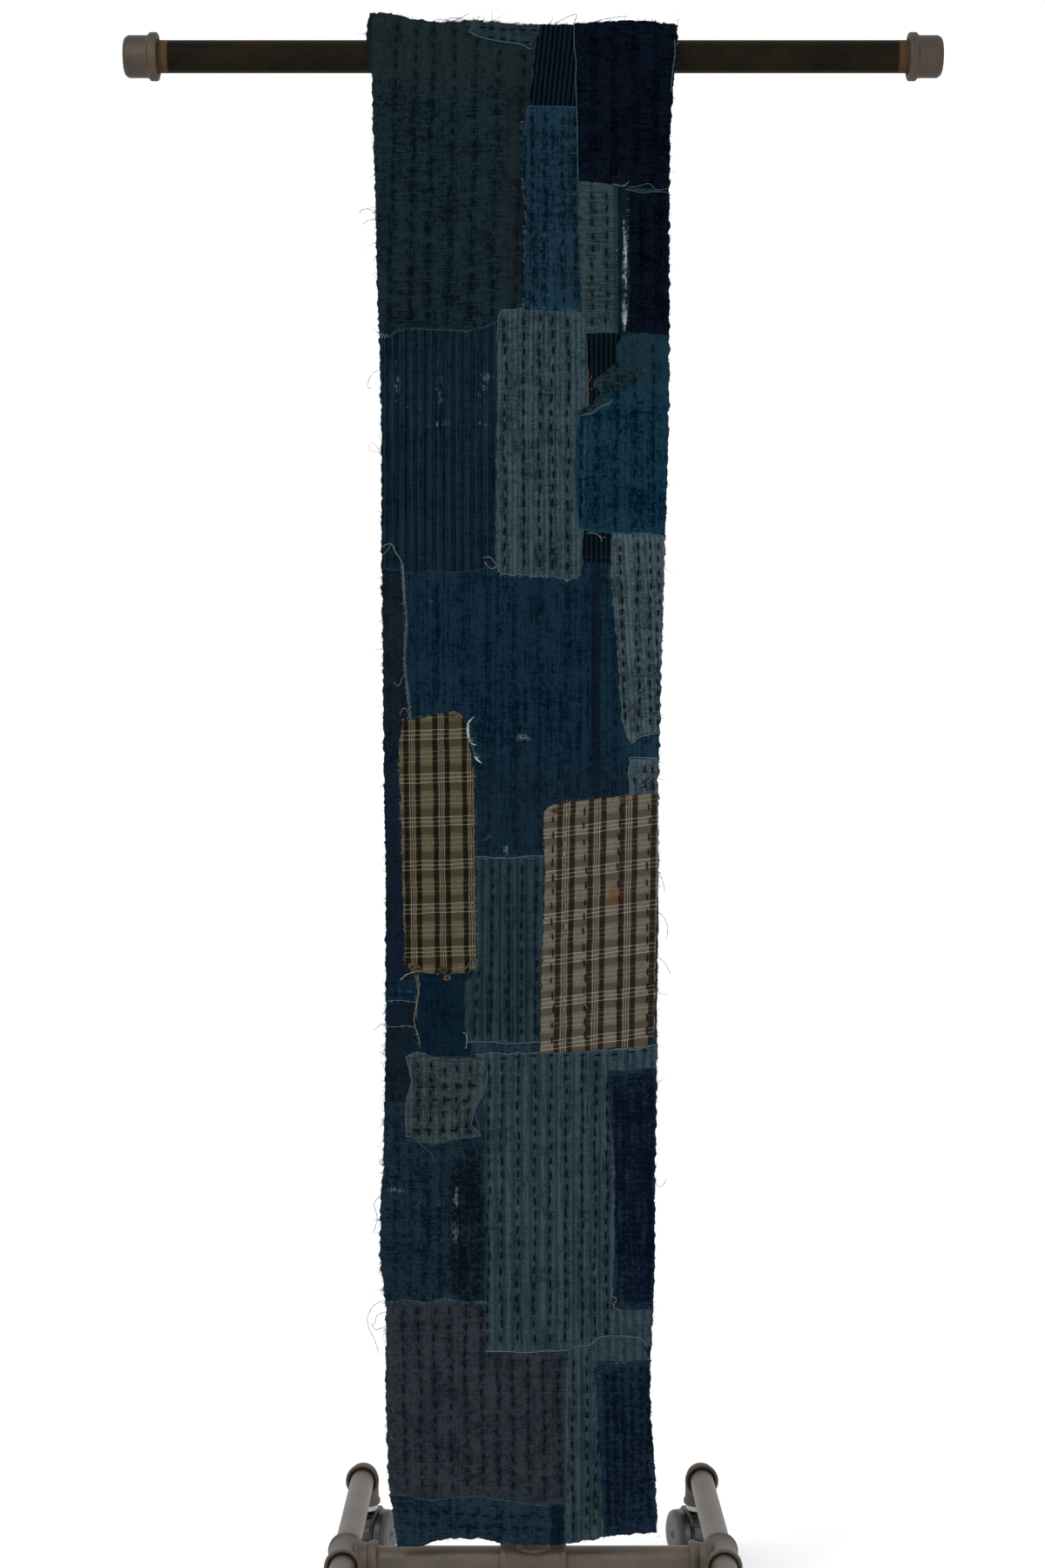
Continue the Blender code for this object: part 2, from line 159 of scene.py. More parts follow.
class Finish:
    """A material, with one way to add a node and one shader to feed."""

    def __init__(self, name):
        self.material = bpy.data.materials.new(name)
        self.material.use_nodes = True
        self.tree = self.material.node_tree
        self.shader = self.tree.nodes["Principled BSDF"]

    def add(self, kind, settings=None, sockets=None, output=0):
        """A node of a kind: its settings first, then a value or a link for each socket."""
        node = self.tree.nodes.new("ShaderNode" + kind)
        for key, value in (settings or {}).items():
            setattr(node, key, value)
        for key, value in (sockets or {}).items():
            self.feed(node.inputs[key], value)
        return Value(self, node.outputs[output])

    def feed(self, socket, value):
        if isinstance(value, Value):
            self.tree.links.new(value.socket, socket)
        elif isinstance(value, tuple) and len(value) == 3 and socket.type == "RGBA":
            socket.default_value = (*value, 1)
        else:
            socket.default_value = value

    def set(self, **sockets):
        """Feeds sockets of the shader; an underscore stands for a space in a socket's name."""
        for key, value in sockets.items():
            self.feed(self.shader.inputs[key.replace("_", " ")], value)

    def mix(self, factor, first, second):
        """From the first colour to the second as the factor goes from 0 to 1."""
        settings = {"data_type": "RGBA", "clamp_factor": True}
        return self.add("Mix", settings, {0: factor, 6: first, 7: second}, output=2)

    def noise(self, vector, scale, detail=2.0, roughness=0.5):
        """Cloudy noise about 0.5, with so many cells to a metre."""
        sockets = {"Vector": vector, "Scale": scale, "Detail": detail, "Roughness": roughness}
        return self.add("TexNoise", {}, sockets)

    def stretched(self, vector, x, y):
        """A vector whose first two numbers are multiplied."""
        return self.add("VectorMath", {"operation": "MULTIPLY"}, {0: vector, 1: (x, y, 1)})

    def spread(self, vector):
        """The three numbers of a vector."""
        return [self.add("SeparateXYZ", {}, {0: vector}, output=i) for i in range(3)]

    def vertex(self, name):
        return self.add("Attribute", {"attribute_name": name}, output=2)

    def bump(self, height, strength, distance):
        sockets = {"Height": height, "Strength": strength, "Distance": distance}
        self.set(Normal=self.add("Bump", {}, sockets))


LIT = 0.69


def shade(red, green, blue):
    """A colour mixed as on a screen, 0 to 255, turned to light, and dimmed by as much as the
    studio lifts a surface that faces it."""
    values = [value / 255 for value in (red, green, blue)]
    return tuple(
        LIT * (v / 12.92 if v < 0.04045 else ((v + 0.055) / 1.055) ** 2.4) for v in values
    )


# ---------------------------------------------------------------- meshes
def build(name, points, faces, finish, body="stand", attributes=None, uv=None):
    """A smooth mesh from points and faces, riding on a body."""
    mesh = bpy.data.meshes.new(name)
    mesh.from_pydata(points.reshape(-1, 3).tolist(), [], faces)
    for key, values in (attributes or {}).items():
        layer = mesh.attributes.new(key, "FLOAT", "POINT")
        layer.data.foreach_set("value", values.astype(np.float32).ravel())
    if uv is not None:
        corners = np.empty(len(mesh.loops), np.int32)
        mesh.loops.foreach_get("vertex_index", corners)
        layer = mesh.uv_layers.new(name="weave")
        layer.data.foreach_set("uv", uv.reshape(-1, 2)[corners].astype(np.float32).ravel())
    mesh.shade_smooth()
    mesh.materials.append(finish)
    obj = bpy.data.objects.new(name, mesh)
    bpy.context.scene.collection.objects.link(obj)
    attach(obj, body)
    return obj


def in_metres(x, y, z):
    """Points from x and z in millimetres and y in metres."""
    return np.stack([x * MM, y, z * MM], axis=-1)


def grid_faces(rows, columns):
    """Quads of a grid whose rows run down and whose columns run to the right, facing -Y."""
    corner = np.arange(rows - 1)[:, None] * columns + np.arange(columns - 1)
    corner = corner.reshape(-1, 1)
    return (corner + [0, columns, columns + 1, 1]).tolist()


def tube(paths, radii, sides, ways=None):
    """Round skins about many paths at once, closed at both ends.

    A point is the path's point + radius x (cosine x sideways + sine x upwards), where sideways
    is square to the path and to Y. paths is (count, steps, 3) and radii (count, steps).
    """
    count, steps, _ = paths.shape
    if ways is None:
        ways = np.gradient(paths, axis=1)
    ways = ways / np.linalg.norm(ways, axis=2, keepdims=True)
    toward = np.array([1e-4, -1.0, 2e-4])
    sideways = np.cross(ways, toward)
    sideways /= np.linalg.norm(sideways, axis=2, keepdims=True) + 1e-9
    upwards = np.cross(sideways, ways)
    turn = 2 * pi * np.arange(sides) / sides
    ring = (
        np.cos(turn)[:, None] * sideways[:, :, None, :]
        + np.sin(turn)[:, None] * upwards[:, :, None, :]
    )
    points = paths[:, :, None, :] + radii[:, :, None, None] * ring
    first = np.arange(count)[:, None, None] * steps * sides
    near = first + np.arange(steps - 1)[None, :, None] * sides + np.arange(sides)
    after = first + np.arange(steps - 1)[None, :, None] * sides + (np.arange(sides) + 1) % sides
    walls = np.stack([near, near + sides, after + sides, after], axis=-1).reshape(-1, 4)
    fan = np.array([(0, i, i + 1, i + 2) for i in range(1, sides - 1, 2)])
    start = (first.reshape(-1, 1, 1) + fan).reshape(-1, 4)
    stop = (first.reshape(-1, 1, 1) + (steps - 1) * sides + fan[:, ::-1]).reshape(-1, 4)
    return points.reshape(-1, 3), np.concatenate([walls, start, stop])


# ---------------------------------------------------------------- the cloth's outline
# Height, and the left and right edges there
SIDES = np.array(
    [
        (106, -138.0, 127.3),
        (136, -141.5, 127.3),
        (186, -148.6, 125.5),
        (275, -151.3, 119.3),
        (364, -150.9, 122.9),
        (416, -157.4, 124.6),
        (481, -156.4, 124.6),
        (503, -153.8, 124.9),
        (632, -151.3, 127.3),
        (811, -151.3, 129.1),
        (896, -153.1, 128.2),
        (1034, -154.4, 131.8),
        (1150, -155.8, 135.4),
        (1257, -155.8, 138.9),
        (1347, -157.6, 139.8),
        (1408, -160.2, 139.8),
        (1499, -162.0, 139.8),
        (1568, -164.4, 140.7),
        (1624, -165.6, 144.3),
        (1666, -171.9, 147.9),
        (1699, -167.4, 147.9),
    ]
)
# Distance across, and the raw top edge and the bottom edge there
ENDS = np.array(
    [
        (-167, 1693, 118.5),
        (-140, 1690.5, 118.5),
        (-113, 1684, 125.5),
        (-90, 1682, 127.5),
        (-60, 1683, 128.5),
        (-20, 1679, 122.0),
        (20, 1678, 121.5),
        (44, 1680, 124.0),
        (80, 1683, 131.0),
        (105, 1684.5, 133.0),
        (130, 1682, 134.5),
        (148, 1679.5, 135.0),
    ]
)


def wander(place, seed, amount, size):
    """A smooth seeded wave of about one size: five sines of nearby lengths, added."""
    chance = np.random.default_rng(seed)
    total = np.zeros_like(place, dtype=float)
    for _ in range(5):
        length = size * chance.uniform(0.6, 1.7)
        total += np.sin(2 * pi * (place / length + chance.uniform()))
    return amount * total / 2.2


def side_edge(z, column):
    """The cloth's left (1) or right (2) edge: the table, a slow wave and a raw fine one."""
    raw = wander(z, 11 + column, 0.45, 9) + wander(z, 21 + column, 0.30, 3.4)
    return np.interp(z, SIDES[:, 0], SIDES[:, column]) + raw


def end_edge(x, column):
    """The cloth's top (1) or bottom (2) edge, in the same way."""
    raw = wander(x, 31 + column, 0.50, 11) + wander(x, 41 + column, 0.35, 4)
    return np.interp(x, ENDS[:, 0], ENDS[:, column]) + raw


# ---------------------------------------------------------------- patches
# Corners and edges in millimetres. "top" and "bottom" run left to right with both corners, and
# "left" and "right" hold the points between them, from the top down, where the edge isn't
# straight. "cloth" follows the cloth's own edge. level is the layer on the backing, light names
# the edges (t, r, b, l) whose fold shows worn and pale, and grain turns the weave, in degrees.
CLOTH = "cloth"
PATCHES = [
    dict(name="long_blue_left_strip", cloth="dark_left_strip", level=0.7,
         top=[(-155, 1146), (-120, 1146)], bottom=[(-152, 690), (-112, 690)], left=CLOTH),
    dict(name="plain_indigo_middle", cloth="streaky_indigo", level=1.0, light="l",
         top=[(-136, 1128), (-37, 1130), (48, 1135), (105, 1136)],
         bottom=[(-125, 704), (105, 704)],
         left=[(-132, 1088), (-130, 1066), (-132, 1026), (-128, 990), (-125, 963), (-127, 811)]),
    dict(name="navy_pinstripe_top", cloth="navy_pinstripe", level=1.2, grain=-6,
         top=[(5, 1679), (47, 1679)], bottom=[(-4, 1592), (46, 1592)]),
    dict(name="dark_stripe_beside_flap", cloth="navy_pinstripe", level=1.2,
         top=[(50, 1365), (95, 1365)], bottom=[(44, 1278), (92, 1278)]),
    dict(name="dark_stripe_below_teal", cloth="navy_pinstripe", level=1.3,
         top=[(46, 1162), (85, 1160)], bottom=[(46, 1127), (84, 1127)]),
    dict(name="blue_bit_by_wedge", cloth="mid_blue", level=1.2,
         top=[(96, 956), (129, 956)], right=CLOTH, bottom=[(96, 922), (129, 922)]),
    dict(name="grey_bit_by_plaid", cloth="pale_grey_green", level=1.7, light="tl",
         top=[(98, 925), (110, 927), (129, 926)], right=CLOTH, bottom=[(98, 884), (128, 884)]),
    dict(name="striped_blue_left", cloth="blue_stripe", level=1.5, light="b",
         top=[(-156, 1368), (-36, 1382)],
         bottom=[(-155, 1121), (-132, 1118.5), (-118, 1115), (-100, 1118.5), (-74, 1116.5),
             (-51, 1120), (-34, 1124)],
         left=CLOTH),
    dict(name="blue_green_top_left", cloth="blue_green", level=2.0, light="b",
         top=[(-166, 1690), (2, 1679)],
         right=[(0, 1668), (-2, 1633), (-4, 1595), (-8, 1570), (-8, 1436)],
         bottom=[(-157, 1361), (-148, 1359), (-132, 1368), (-100, 1365.5), (-60, 1364), (-36, 1374),
             (-6, 1378)],
         left=CLOTH, top_edge=CLOTH),
    dict(name="pale_flap_top", cloth="pale_blue_green", level=2.6, light="bl",
         top=[(-64, 1683), (9, 1678)],
         bottom=[(-66, 1670.5), (-56, 1665), (-33, 1660), (-13, 1657.5), (-5, 1653), (-1, 1652)],
         left=[(-62, 1676)], top_edge=CLOTH),
    dict(name="near_black_top_right", cloth="near_black", level=2.2,
         top=[(42, 1681), (147, 1680)], right=CLOTH,
         bottom=[(46, 1517), (70, 1515), (98, 1514), (118, 1511), (140, 1507)],
         left=[(43.5, 1637), (44.4, 1597)], top_edge=CLOTH),
    dict(name="grey_teal_ribbed", cloth="grey_teal", level=1.5,
         top=[(42, 1518), (100, 1518)], bottom=[(44, 1361), (100, 1361)]),
    dict(name="mid_blue_upper", cloth="mid_blue", level=2.5, light="lt",
         top=[(-6, 1594), (10, 1594.5), (44, 1593.5)], right=[(46, 1517), (47, 1436)],
         bottom=[(-11, 1383), (50, 1383)],
         left=[(-11, 1570), (-12, 1526), (-8, 1490), (-10, 1470), (-9, 1436)]),
    dict(name="near_black_lower", cloth="near_black", level=2.1,
         top=[(98, 1508), (140, 1507)], right=CLOTH,
         bottom=[(96, 1364), (110, 1363), (140, 1361)],
         left=[(99, 1472), (97, 1463), (99, 1410)]),
    dict(name="grey_green_middle", cloth="grey_green", level=2.6, light="trbl",
         top=[(-37, 1378), (-33, 1385), (-11, 1388), (7, 1386.5), (38, 1387), (47, 1384),
             (52, 1375)],
         right=[(54.2, 1360), (56, 1329), (57, 1293), (53.3, 1222), (51.5, 1177)],
         bottom=[(-38, 1123), (-33, 1115), (-11, 1114), (24.7, 1112), (36, 1109), (46, 1113),
             (50, 1122)],
         left=[(-36.5, 1300), (-37.5, 1220)]),
    dict(name="teal_blue_right", cloth="teal_blue", level=2.9, light="lb",
         top=[(86, 1349), (92, 1361), (114, 1363), (130, 1359.5), (139, 1351.5)], right=CLOTH,
         bottom=[(46, 1162), (60, 1159), (78, 1157.5), (123, 1157), (135, 1154)],
         left=[(84, 1331), (78, 1312), (66, 1296), (47, 1277), (42.6, 1258), (40.8, 1222),
             (44.4, 1177)]),
    dict(name="grey_wedge_right", cloth="pale_grey_green", level=2.0, light="b", grain=4,
         top=[(80, 1158), (135, 1158)], right=CLOTH,
         bottom=[(100, 941), (107, 947), (118.5, 951), (129, 952)],
         left=[(79, 1115), (82, 1079), (85.4, 1043), (88, 1008), (90, 972), (93.5, 954)]),
    dict(name="dark_blue_below_plaid", cloth="dark_blue", level=1.2,
         top=[(-121, 712), (-62, 712)], bottom=[(-120, 622), (-64, 622)],
         left=[(-119, 690), (-118, 680), (-122, 658), (-118, 640)]),
    dict(name="blue_bit_left", cloth="mid_indigo", level=1.3,
         top=[(-152, 700), (-120, 700)], bottom=[(-151, 677), (-119, 678)], left=CLOTH),
    dict(name="frayed_bit_left", cloth="dark_left_strip", level=1.0,
         top=[(-151, 680), (-118, 680)], bottom=[(-151, 650), (-118, 650)], left=CLOTH),
    dict(name="dark_bit_left", cloth="dark_left_strip", level=1.2,
         top=[(-151, 652), (-116, 652)], right=[(-118, 622), (-120, 596)],
         bottom=[(-151, 569), (-128, 569)], left=CLOTH),
    dict(name="grey_blue_middle", cloth="grey_blue_dark", level=1.8, light="tb",
         top=[(-58.3, 825.5), (-20, 825), (14, 826)],
         bottom=[(-69, 636), (-58, 637.5), (-20, 635.5), (14, 636)],
         left=[(-58.3, 780), (-58.3, 716), (-63, 706), (-70, 697), (-71, 677)]),
    dict(name="plaid_left", cloth="plaid_left", level=2.2,
         top=[(-134, 965), (-122.6, 966.6), (-91, 973), (-82, 975.6), (-73.5, 972), (-68, 960)],
         right=[(-62, 918), (-60, 883), (-60, 811), (-58.3, 731)],
         bottom=[(-130, 711), (-118, 707), (-90, 707), (-69, 708), (-58.3, 711)],
         left=[(-138, 936), (-135, 847), (-133, 767)]),
    dict(name="worn_blue_left", cloth="worn_blue", level=1.4, light="b",
         top=[(-152, 575), (-48, 575)],
         bottom=[(-150, 369), (-130, 372), (-110, 369), (-90, 374), (-70, 370), (-48, 371)],
         left=CLOTH),
    dict(name="charcoal_bottom_left", cloth="charcoal", level=1.0,
         top=[(-151, 376), (38, 376)], right=[(36, 300), (36, 200)],
         bottom=[(-146, 165), (36, 158)], left=CLOTH),
    dict(name="grey_blue_lower", cloth="grey_blue", level=2.0, light="tb",
         top=[(-60, 625), (-11, 625.5), (33.7, 626.4), (78.3, 629), (127, 633.5)], right=CLOTH,
         bottom=[(-50, 320), (-11, 320), (35, 321), (78, 322), (122, 325)],
         left=[(-53, 608), (-50, 590), (-50, 420)]),
    dict(name="plaid_right", cloth="plaid_right", level=2.4,
         top=[(9.5, 869), (15.8, 878), (33.7, 882), (69.4, 886), (105, 890), (128, 890)],
         right=[(128.3, 811), (126, 760), (124.7, 704), (124, 650)],
         bottom=[(6.9, 624.6), (33.7, 625.5), (69.4, 629), (91.7, 631), (109.6, 630), (121, 635)],
         left=[(10.4, 847), (12.2, 811), (8.6, 713)]),
    dict(name="khaki_grey_lower", cloth="khaki_grey", level=2.9, light="trbl",
         top=[(-130.7, 622), (-120, 626.4), (-100, 621), (-87, 618), (-64.6, 620), (-54, 617)],
         right=[(-46.7, 606), (-48.5, 588), (-60, 566), (-62.8, 552)],
         bottom=[(-130.7, 539), (-113.7, 534.4), (-100, 531.7), (-87, 536), (-53, 540.7)],
         left=[(-125.3, 597), (-131.6, 570)]),
    dict(name="purple_navy_right", cloth="purple_navy", level=2.6,
         top=[(75.6, 607.6), (100, 608), (126, 610)], right=CLOTH,
         bottom=[(80, 363), (100, 362), (122, 362)],
         left=[(78.3, 561), (83.7, 516.5), (82.8, 418)]),
    dict(name="grey_blue_bottom_right", cloth="grey_blue", level=2.3, light="t",
         top=[(35, 323.5), (56, 326), (69, 335), (109.6, 335), (115, 322)],
         right=[(119, 311), (121, 230)], bottom=[(31, 125), (122, 133)],
         left=[(33.7, 311), (32, 230)], bottom_edge=CLOTH),
    dict(name="dark_indigo_bottom_right", cloth="bumpy_indigo", level=2.8,
         top=[(62, 304), (69.4, 311), (90, 310), (117, 311)], right=CLOTH,
         bottom=[(71, 130), (126, 134)],
         left=[(65, 258), (69.4, 186), (71, 150)], bottom_edge=CLOTH),
    dict(name="small_dark_bottom", cloth="dark_blue", level=1.6,
         top=[(15, 164), (35, 162)], bottom=[(15, 122), (33, 123)], left=[], bottom_edge=CLOTH),
    dict(name="bottom_band", cloth="bottom_indigo", level=2.1, light="t",
         top=[(-146, 172), (-131.6, 173), (-109, 167), (-60, 172), (-33, 168), (-11, 165),
             (18.5, 161)],
         bottom=[(-141, 118), (18.5, 121.5)], left=CLOTH, bottom_edge=CLOTH),
    dict(name="torn_flap_upper", cloth="flap_reverse", level=4.2, light="r",
         top=[(61.5, 1313), (69.4, 1320), (83.7, 1331), (98, 1327.5), (115, 1326.5)],
         bottom=[(61.5, 1308.5), (69.4, 1300.5), (91.7, 1302.4), (102, 1311), (116, 1322)]),
    dict(name="torn_flap_lower", cloth="flap_reverse", level=3.9, light="b",
         top=[(46, 1281), (60.4, 1290), (74, 1298), (80, 1297)],
         bottom=[(46, 1276.5), (60.4, 1279), (78, 1290), (82, 1294)]),
]

# Rows of running stitches in millimetres: start, end, dash, distance from dash to dash
STITCHES = [
    # thread, radius, dash, repeat, [(x_top, z_top, x_bottom, z_bottom), ...]
    ("dark", 0.80, 7.5, 14.3, [
        (-140, 1686, -148, 1370), (-120, 1681, -127, 1374), (-102, 1680, -109, 1372),
        (-80, 1680, -88, 1371), (-58, 1667, -65, 1370), (-35, 1657, -43, 1375),
        (-9, 1650, -19, 1384), (-8, 1560, -10.5, 1392)]),
    ("dark", 0.80, 6.0, 10.0, [(-58, 1676, 5, 1671), (-50, 1665, -2, 1659)]),
    ("black", 0.72, 6.0, 12.0, [
        (60, 1676, 62, 1522), (82, 1679, 83, 1520), (104, 1680, 104, 1518), (127, 1676, 124, 1514),
        (112, 1500, 112, 1368), (128, 1500, 128, 1368)]),
    ("dark", 0.80, 7.0, 13.6, [
        (-1, 1588, 0, 1392), (11.3, 1588, 12, 1390), (30, 1588, 31, 1390), (42, 1586, 43, 1392),
        (60.4, 1511, 60.4, 1368), (76, 1511, 75, 1368)]),
    ("dark", 0.90, 9.0, 14.8, [
        (-29, 1381, -29, 1120), (-10, 1383, -10, 1118), (7, 1383, 6, 1118), (19.5, 1382, 19, 1117),
        (36, 1380, 35, 1116)]),
    ("blue_black", 0.90, 8.8, 15.4, [
        (50, 1268, 48, 1165), (64, 1285, 64, 1163), (86, 1340, 83.7, 1162), (104, 1322, 104, 1162),
        (123, 1356, 123, 1162)]),
    ("dark", 0.84, 7.5, 13.4, [
        (89, 1150, 94, 962), (106, 1152, 108, 952), (120, 1152, 119, 956), (129, 1150, 127, 958)]),
    ("soft_blue", 0.65, 5.5, 14.0, [
        (-101, 1108, -100, 982), (-74, 1108, -72, 984), (-47, 1108, -46, 832),
        (-20, 1108, -19, 830),
        (7, 1100, 7, 832), (34, 1108, 34, 888), (61, 1118, 62, 892), (84, 1060, 84, 894)]),
    ("dark", 0.80, 8.0, 13.6, [(105, 920, 105, 893), (114, 921, 114, 893), (123, 921, 122, 893)]),
    ("brown_black", 0.80, 8.2, 14.6, [
        (20, 872, 19, 632), (53, 880, 52, 634), (88, 884, 87, 636), (118, 884, 116, 640)]),
    ("cream", 0.65, 5.0, 10.4, [(33, 876, 32, 632)]),
    ("blue_black", 0.90, 8.0, 13.5, [
        (-56, 712, -59, 641), (-40.5, 818, -45, 641), (-25, 818, -26, 640), (-11, 819, -13, 640),
        (3.3, 819, 2, 640)]),
    ("dark", 0.80, 7.2, 13.0, [
        (-118, 618, -118, 538), (-105, 617, -106, 538), (-91, 614, -92, 540), (-78, 615, -79, 540),
        (-65, 615, -68, 543), (-124, 590, -56, 592), (-126, 577, -62, 576), (-128, 546, -60, 545)]),
    ("blue_black", 0.90, 8.4, 13.6, [
        (-45, 616, -46.7, 327), (-32, 618, -33.3, 326), (-15, 619, -16.4, 326), (2, 619, 0.6, 326),
        (18, 619, 16.7, 327), (34, 620, 32.8, 328), (50, 621, 49.7, 330), (64, 622, 63, 330),
        (76, 600, 74.7, 332)]),
    ("blue_black", 0.80, 6.0, 15.0, [(-40, 620, 124, 626)]),
    ("purple", 0.72, 4.4, 7.6, [
        (84, 602, 88, 370), (90.5, 603, 94, 369), (97, 603, 100, 369), (103.5, 604, 106, 369),
        (110, 604, 112, 369), (116.5, 604, 118, 369), (122, 603, 121, 400)]),
    ("dark", 0.72, 5.0, 7.8, [
        (-81, 500, -82, 376), (-75, 520, -75, 376), (-68.5, 525, -69, 376), (-62, 525, -62, 376),
        (-55.5, 530, -55, 376)]),
    ("soft_blue", 0.70, 6.0, 13.0, [
        (-139, 560, -142, 380), (-124, 530, -126, 380), (-108, 528, -110, 380),
        (-94, 530, -95, 380)]),
    ("charcoal", 0.75, 7.0, 13.0, [
        (-134, 366, -130, 178), (-118, 366, -114, 176), (-102, 366, -99, 176), (-86, 366, -83, 176),
        (-70, 366, -67, 178), (-54, 366, -51, 178), (-38, 316, -35, 176), (-22, 316, -20, 174),
        (-6, 316, -4, 172), (10, 316, 12, 170), (26, 316, 27, 168)]),
    ("blue_black", 0.84, 8.0, 13.4, [(41, 316, 40, 132), (55, 318, 55, 134), (66, 240, 63, 140)]),
    ("purple", 0.75, 5.5, 9.0, [
        (74, 300, 78, 142), (83, 304, 86, 142), (92, 304, 94, 142), (101, 305, 102, 143),
        (110, 305, 110, 144), (118, 304, 118, 146)]),
    ("blue_black", 0.80, 7.0, 13.0, [(-138, 156, 14, 150), (-134, 143, 14, 138)]),
]

# Creases, given one by one, in millimetres: two ends, half width, and how far the cloth rises
CREASES = [
    (-11, 1349, 20, 1343, 2.2, 0.9), (-12, 1267, 16, 1264, 2.4, 0.8),
    (-60, 1300, -40, 1240, 5, 0.6),
    (-140, 1500, -120, 1400, 9, 0.9), (-60, 1620, -40, 1500, 10, 0.8), (20, 1560, 24, 1420, 4, 0.5),
    (60, 1240, 75, 1170, 6, 0.8), (100, 1290, 118, 1180, 7, 0.7), (-80, 1080, -60, 960, 9, 0.9),
    (20, 1090, 34, 960, 8, -0.7), (60, 1060, 72, 940, 7, 0.8), (-150, 1060, -146, 800, 4, 0.7),
    (-118, 900, -112, 760, 5, 0.6), (-90, 860, -86, 730, 6, -0.5), (-40, 780, -36, 660, 5, 0.5),
    (30, 840, 40, 660, 7, 0.8), (90, 840, 98, 680, 8, 0.9), (60, 760, 66, 660, 6, -0.6),
    (-150, 486, -120, 483, 2.2, 1.0), (-150, 400, -60, 394, 2.4, 0.9),
    (-140, 388, -52, 384, 2.0, -0.8),
    (-148, 414, -90, 410, 2.4, -0.7), (-30, 560, -24, 380, 6, 0.7), (24, 560, 30, 400, 7, -0.6),
    (60, 580, 66, 360, 6, 0.8), (-120, 330, -112, 200, 7, 0.7), (-60, 320, -50, 190, 9, 0.8),
    (-4, 300, 2, 190, 7, -0.6), (84, 290, 96, 160, 7, 0.9), (-120, 160, 0, 150, 4, 0.7),
    (-125, 600, -70, 585, 4, 0.7), (-110, 570, -70, 555, 4, -0.6),
]

# Worn pale places in millimetres: middle, half width, half height, strength
WORN = [
    (-139, 1310, 5, 28, 0.42), (-95, 1302, 5, 18, 0.40), (-51, 1300, 6, 24, 0.48),
    (-46, 1316, 4, 6, 0.6),
    (-96, 1269, 16, 3, 0.6), (-52, 1269, 9, 3, 0.6), (-120, 1286, 14, 4, 0.30),
    (-80, 1300, 50, 40, 0.12),
    (94, 1440, 3.2, 50, 1.0), (94, 1380, 3, 14, 1.0), (85, 1440, 2.0, 60, 0.45),
    (-45, 845, 9, 5, 0.7), (-28, 834, 5, 7, 1.0), (-140, 485, 13, 3.5, 0.9),
    (-100, 470, 26, 4, 0.5),
    (-79, 480, 4, 12, 0.7), (-80, 445, 3.5, 24, 0.6), (-112, 560, 6, 10, 0.25),
    (-10, 950, 12, 6, 0.6),
    (-58, 928, 4, 5, 0.8), (-104, 1088, 1.8, 1.8, 0.9), (-70, 1030, 1.8, 1.8, 0.9),
    (15, 989, 1.6, 1.6, 1.0), (-20, 983, 1.6, 1.6, 0.8), (-33, 979, 1.6, 1.4, 0.8),
    (89, 980, 1.6, 1.6, 0.8), (-22, 900, 1.8, 1.6, 0.9), (26, 902, 1.5, 1.5, 0.9),
    (-132, 688, 22, 2.4, 0.6), (40, 1650, 1.5, 1.5, 0.8), (79, 1646, 2, 1.5, 0.8),
    (-130, 300, 18, 12, 0.2), (-60, 260, 30, 20, 0.18), (116, 900, 3, 14, 0.3),
    (15, 1400, 3, 5, 0.7), (-135, 1520, 3, 8, 0.2), (-100, 440, 30, 12, 0.35),
]

# ---------------------------------------------------------------- fields over the cloth
FIELD_X = np.arange(-185, 161, 1.0)
FIELD_Z = np.arange(95, 1716, 1.0)


def read(field, x, z):
    """A field's value at points in millimetres, straight between its four nearest cells."""
    across = np.clip(x - FIELD_X[0], 0, len(FIELD_X) - 1.001)
    up = np.clip(z - FIELD_Z[0], 0, len(FIELD_Z) - 1.001)
    i, j = up.astype(int), across.astype(int)
    a, b = up - i, across - j
    low = field[i, j] * (1 - b) + field[i, j + 1] * b
    high = field[i + 1, j] * (1 - b) + field[i + 1, j + 1] * b
    return low * (1 - a) + high * a


def blurred(field, across, up):
    """A field smoothed by a bell curve of two widths, with its edges held."""
    pad = 60
    wide = np.pad(field, pad, mode="edge")
    waves = np.fft.rfft2(wide)
    fy = np.fft.fftfreq(wide.shape[0])[:, None]
    fx = np.fft.rfftfreq(wide.shape[1])[None, :]
    waves *= np.exp(-2 * pi**2 * ((fx * across) ** 2 + (fy * up) ** 2))
    return np.fft.irfft2(waves, s=wide.shape)[pad:-pad, pad:-pad]


def grain_field(seed, across, up):
    """Seeded noise with cells of two sizes, scaled to an even spread of 1."""
    rough = np.random.default_rng(seed).normal(size=(len(FIELD_Z), len(FIELD_X)))
    smooth = blurred(rough, across, up)
    return smooth / smooth.std()


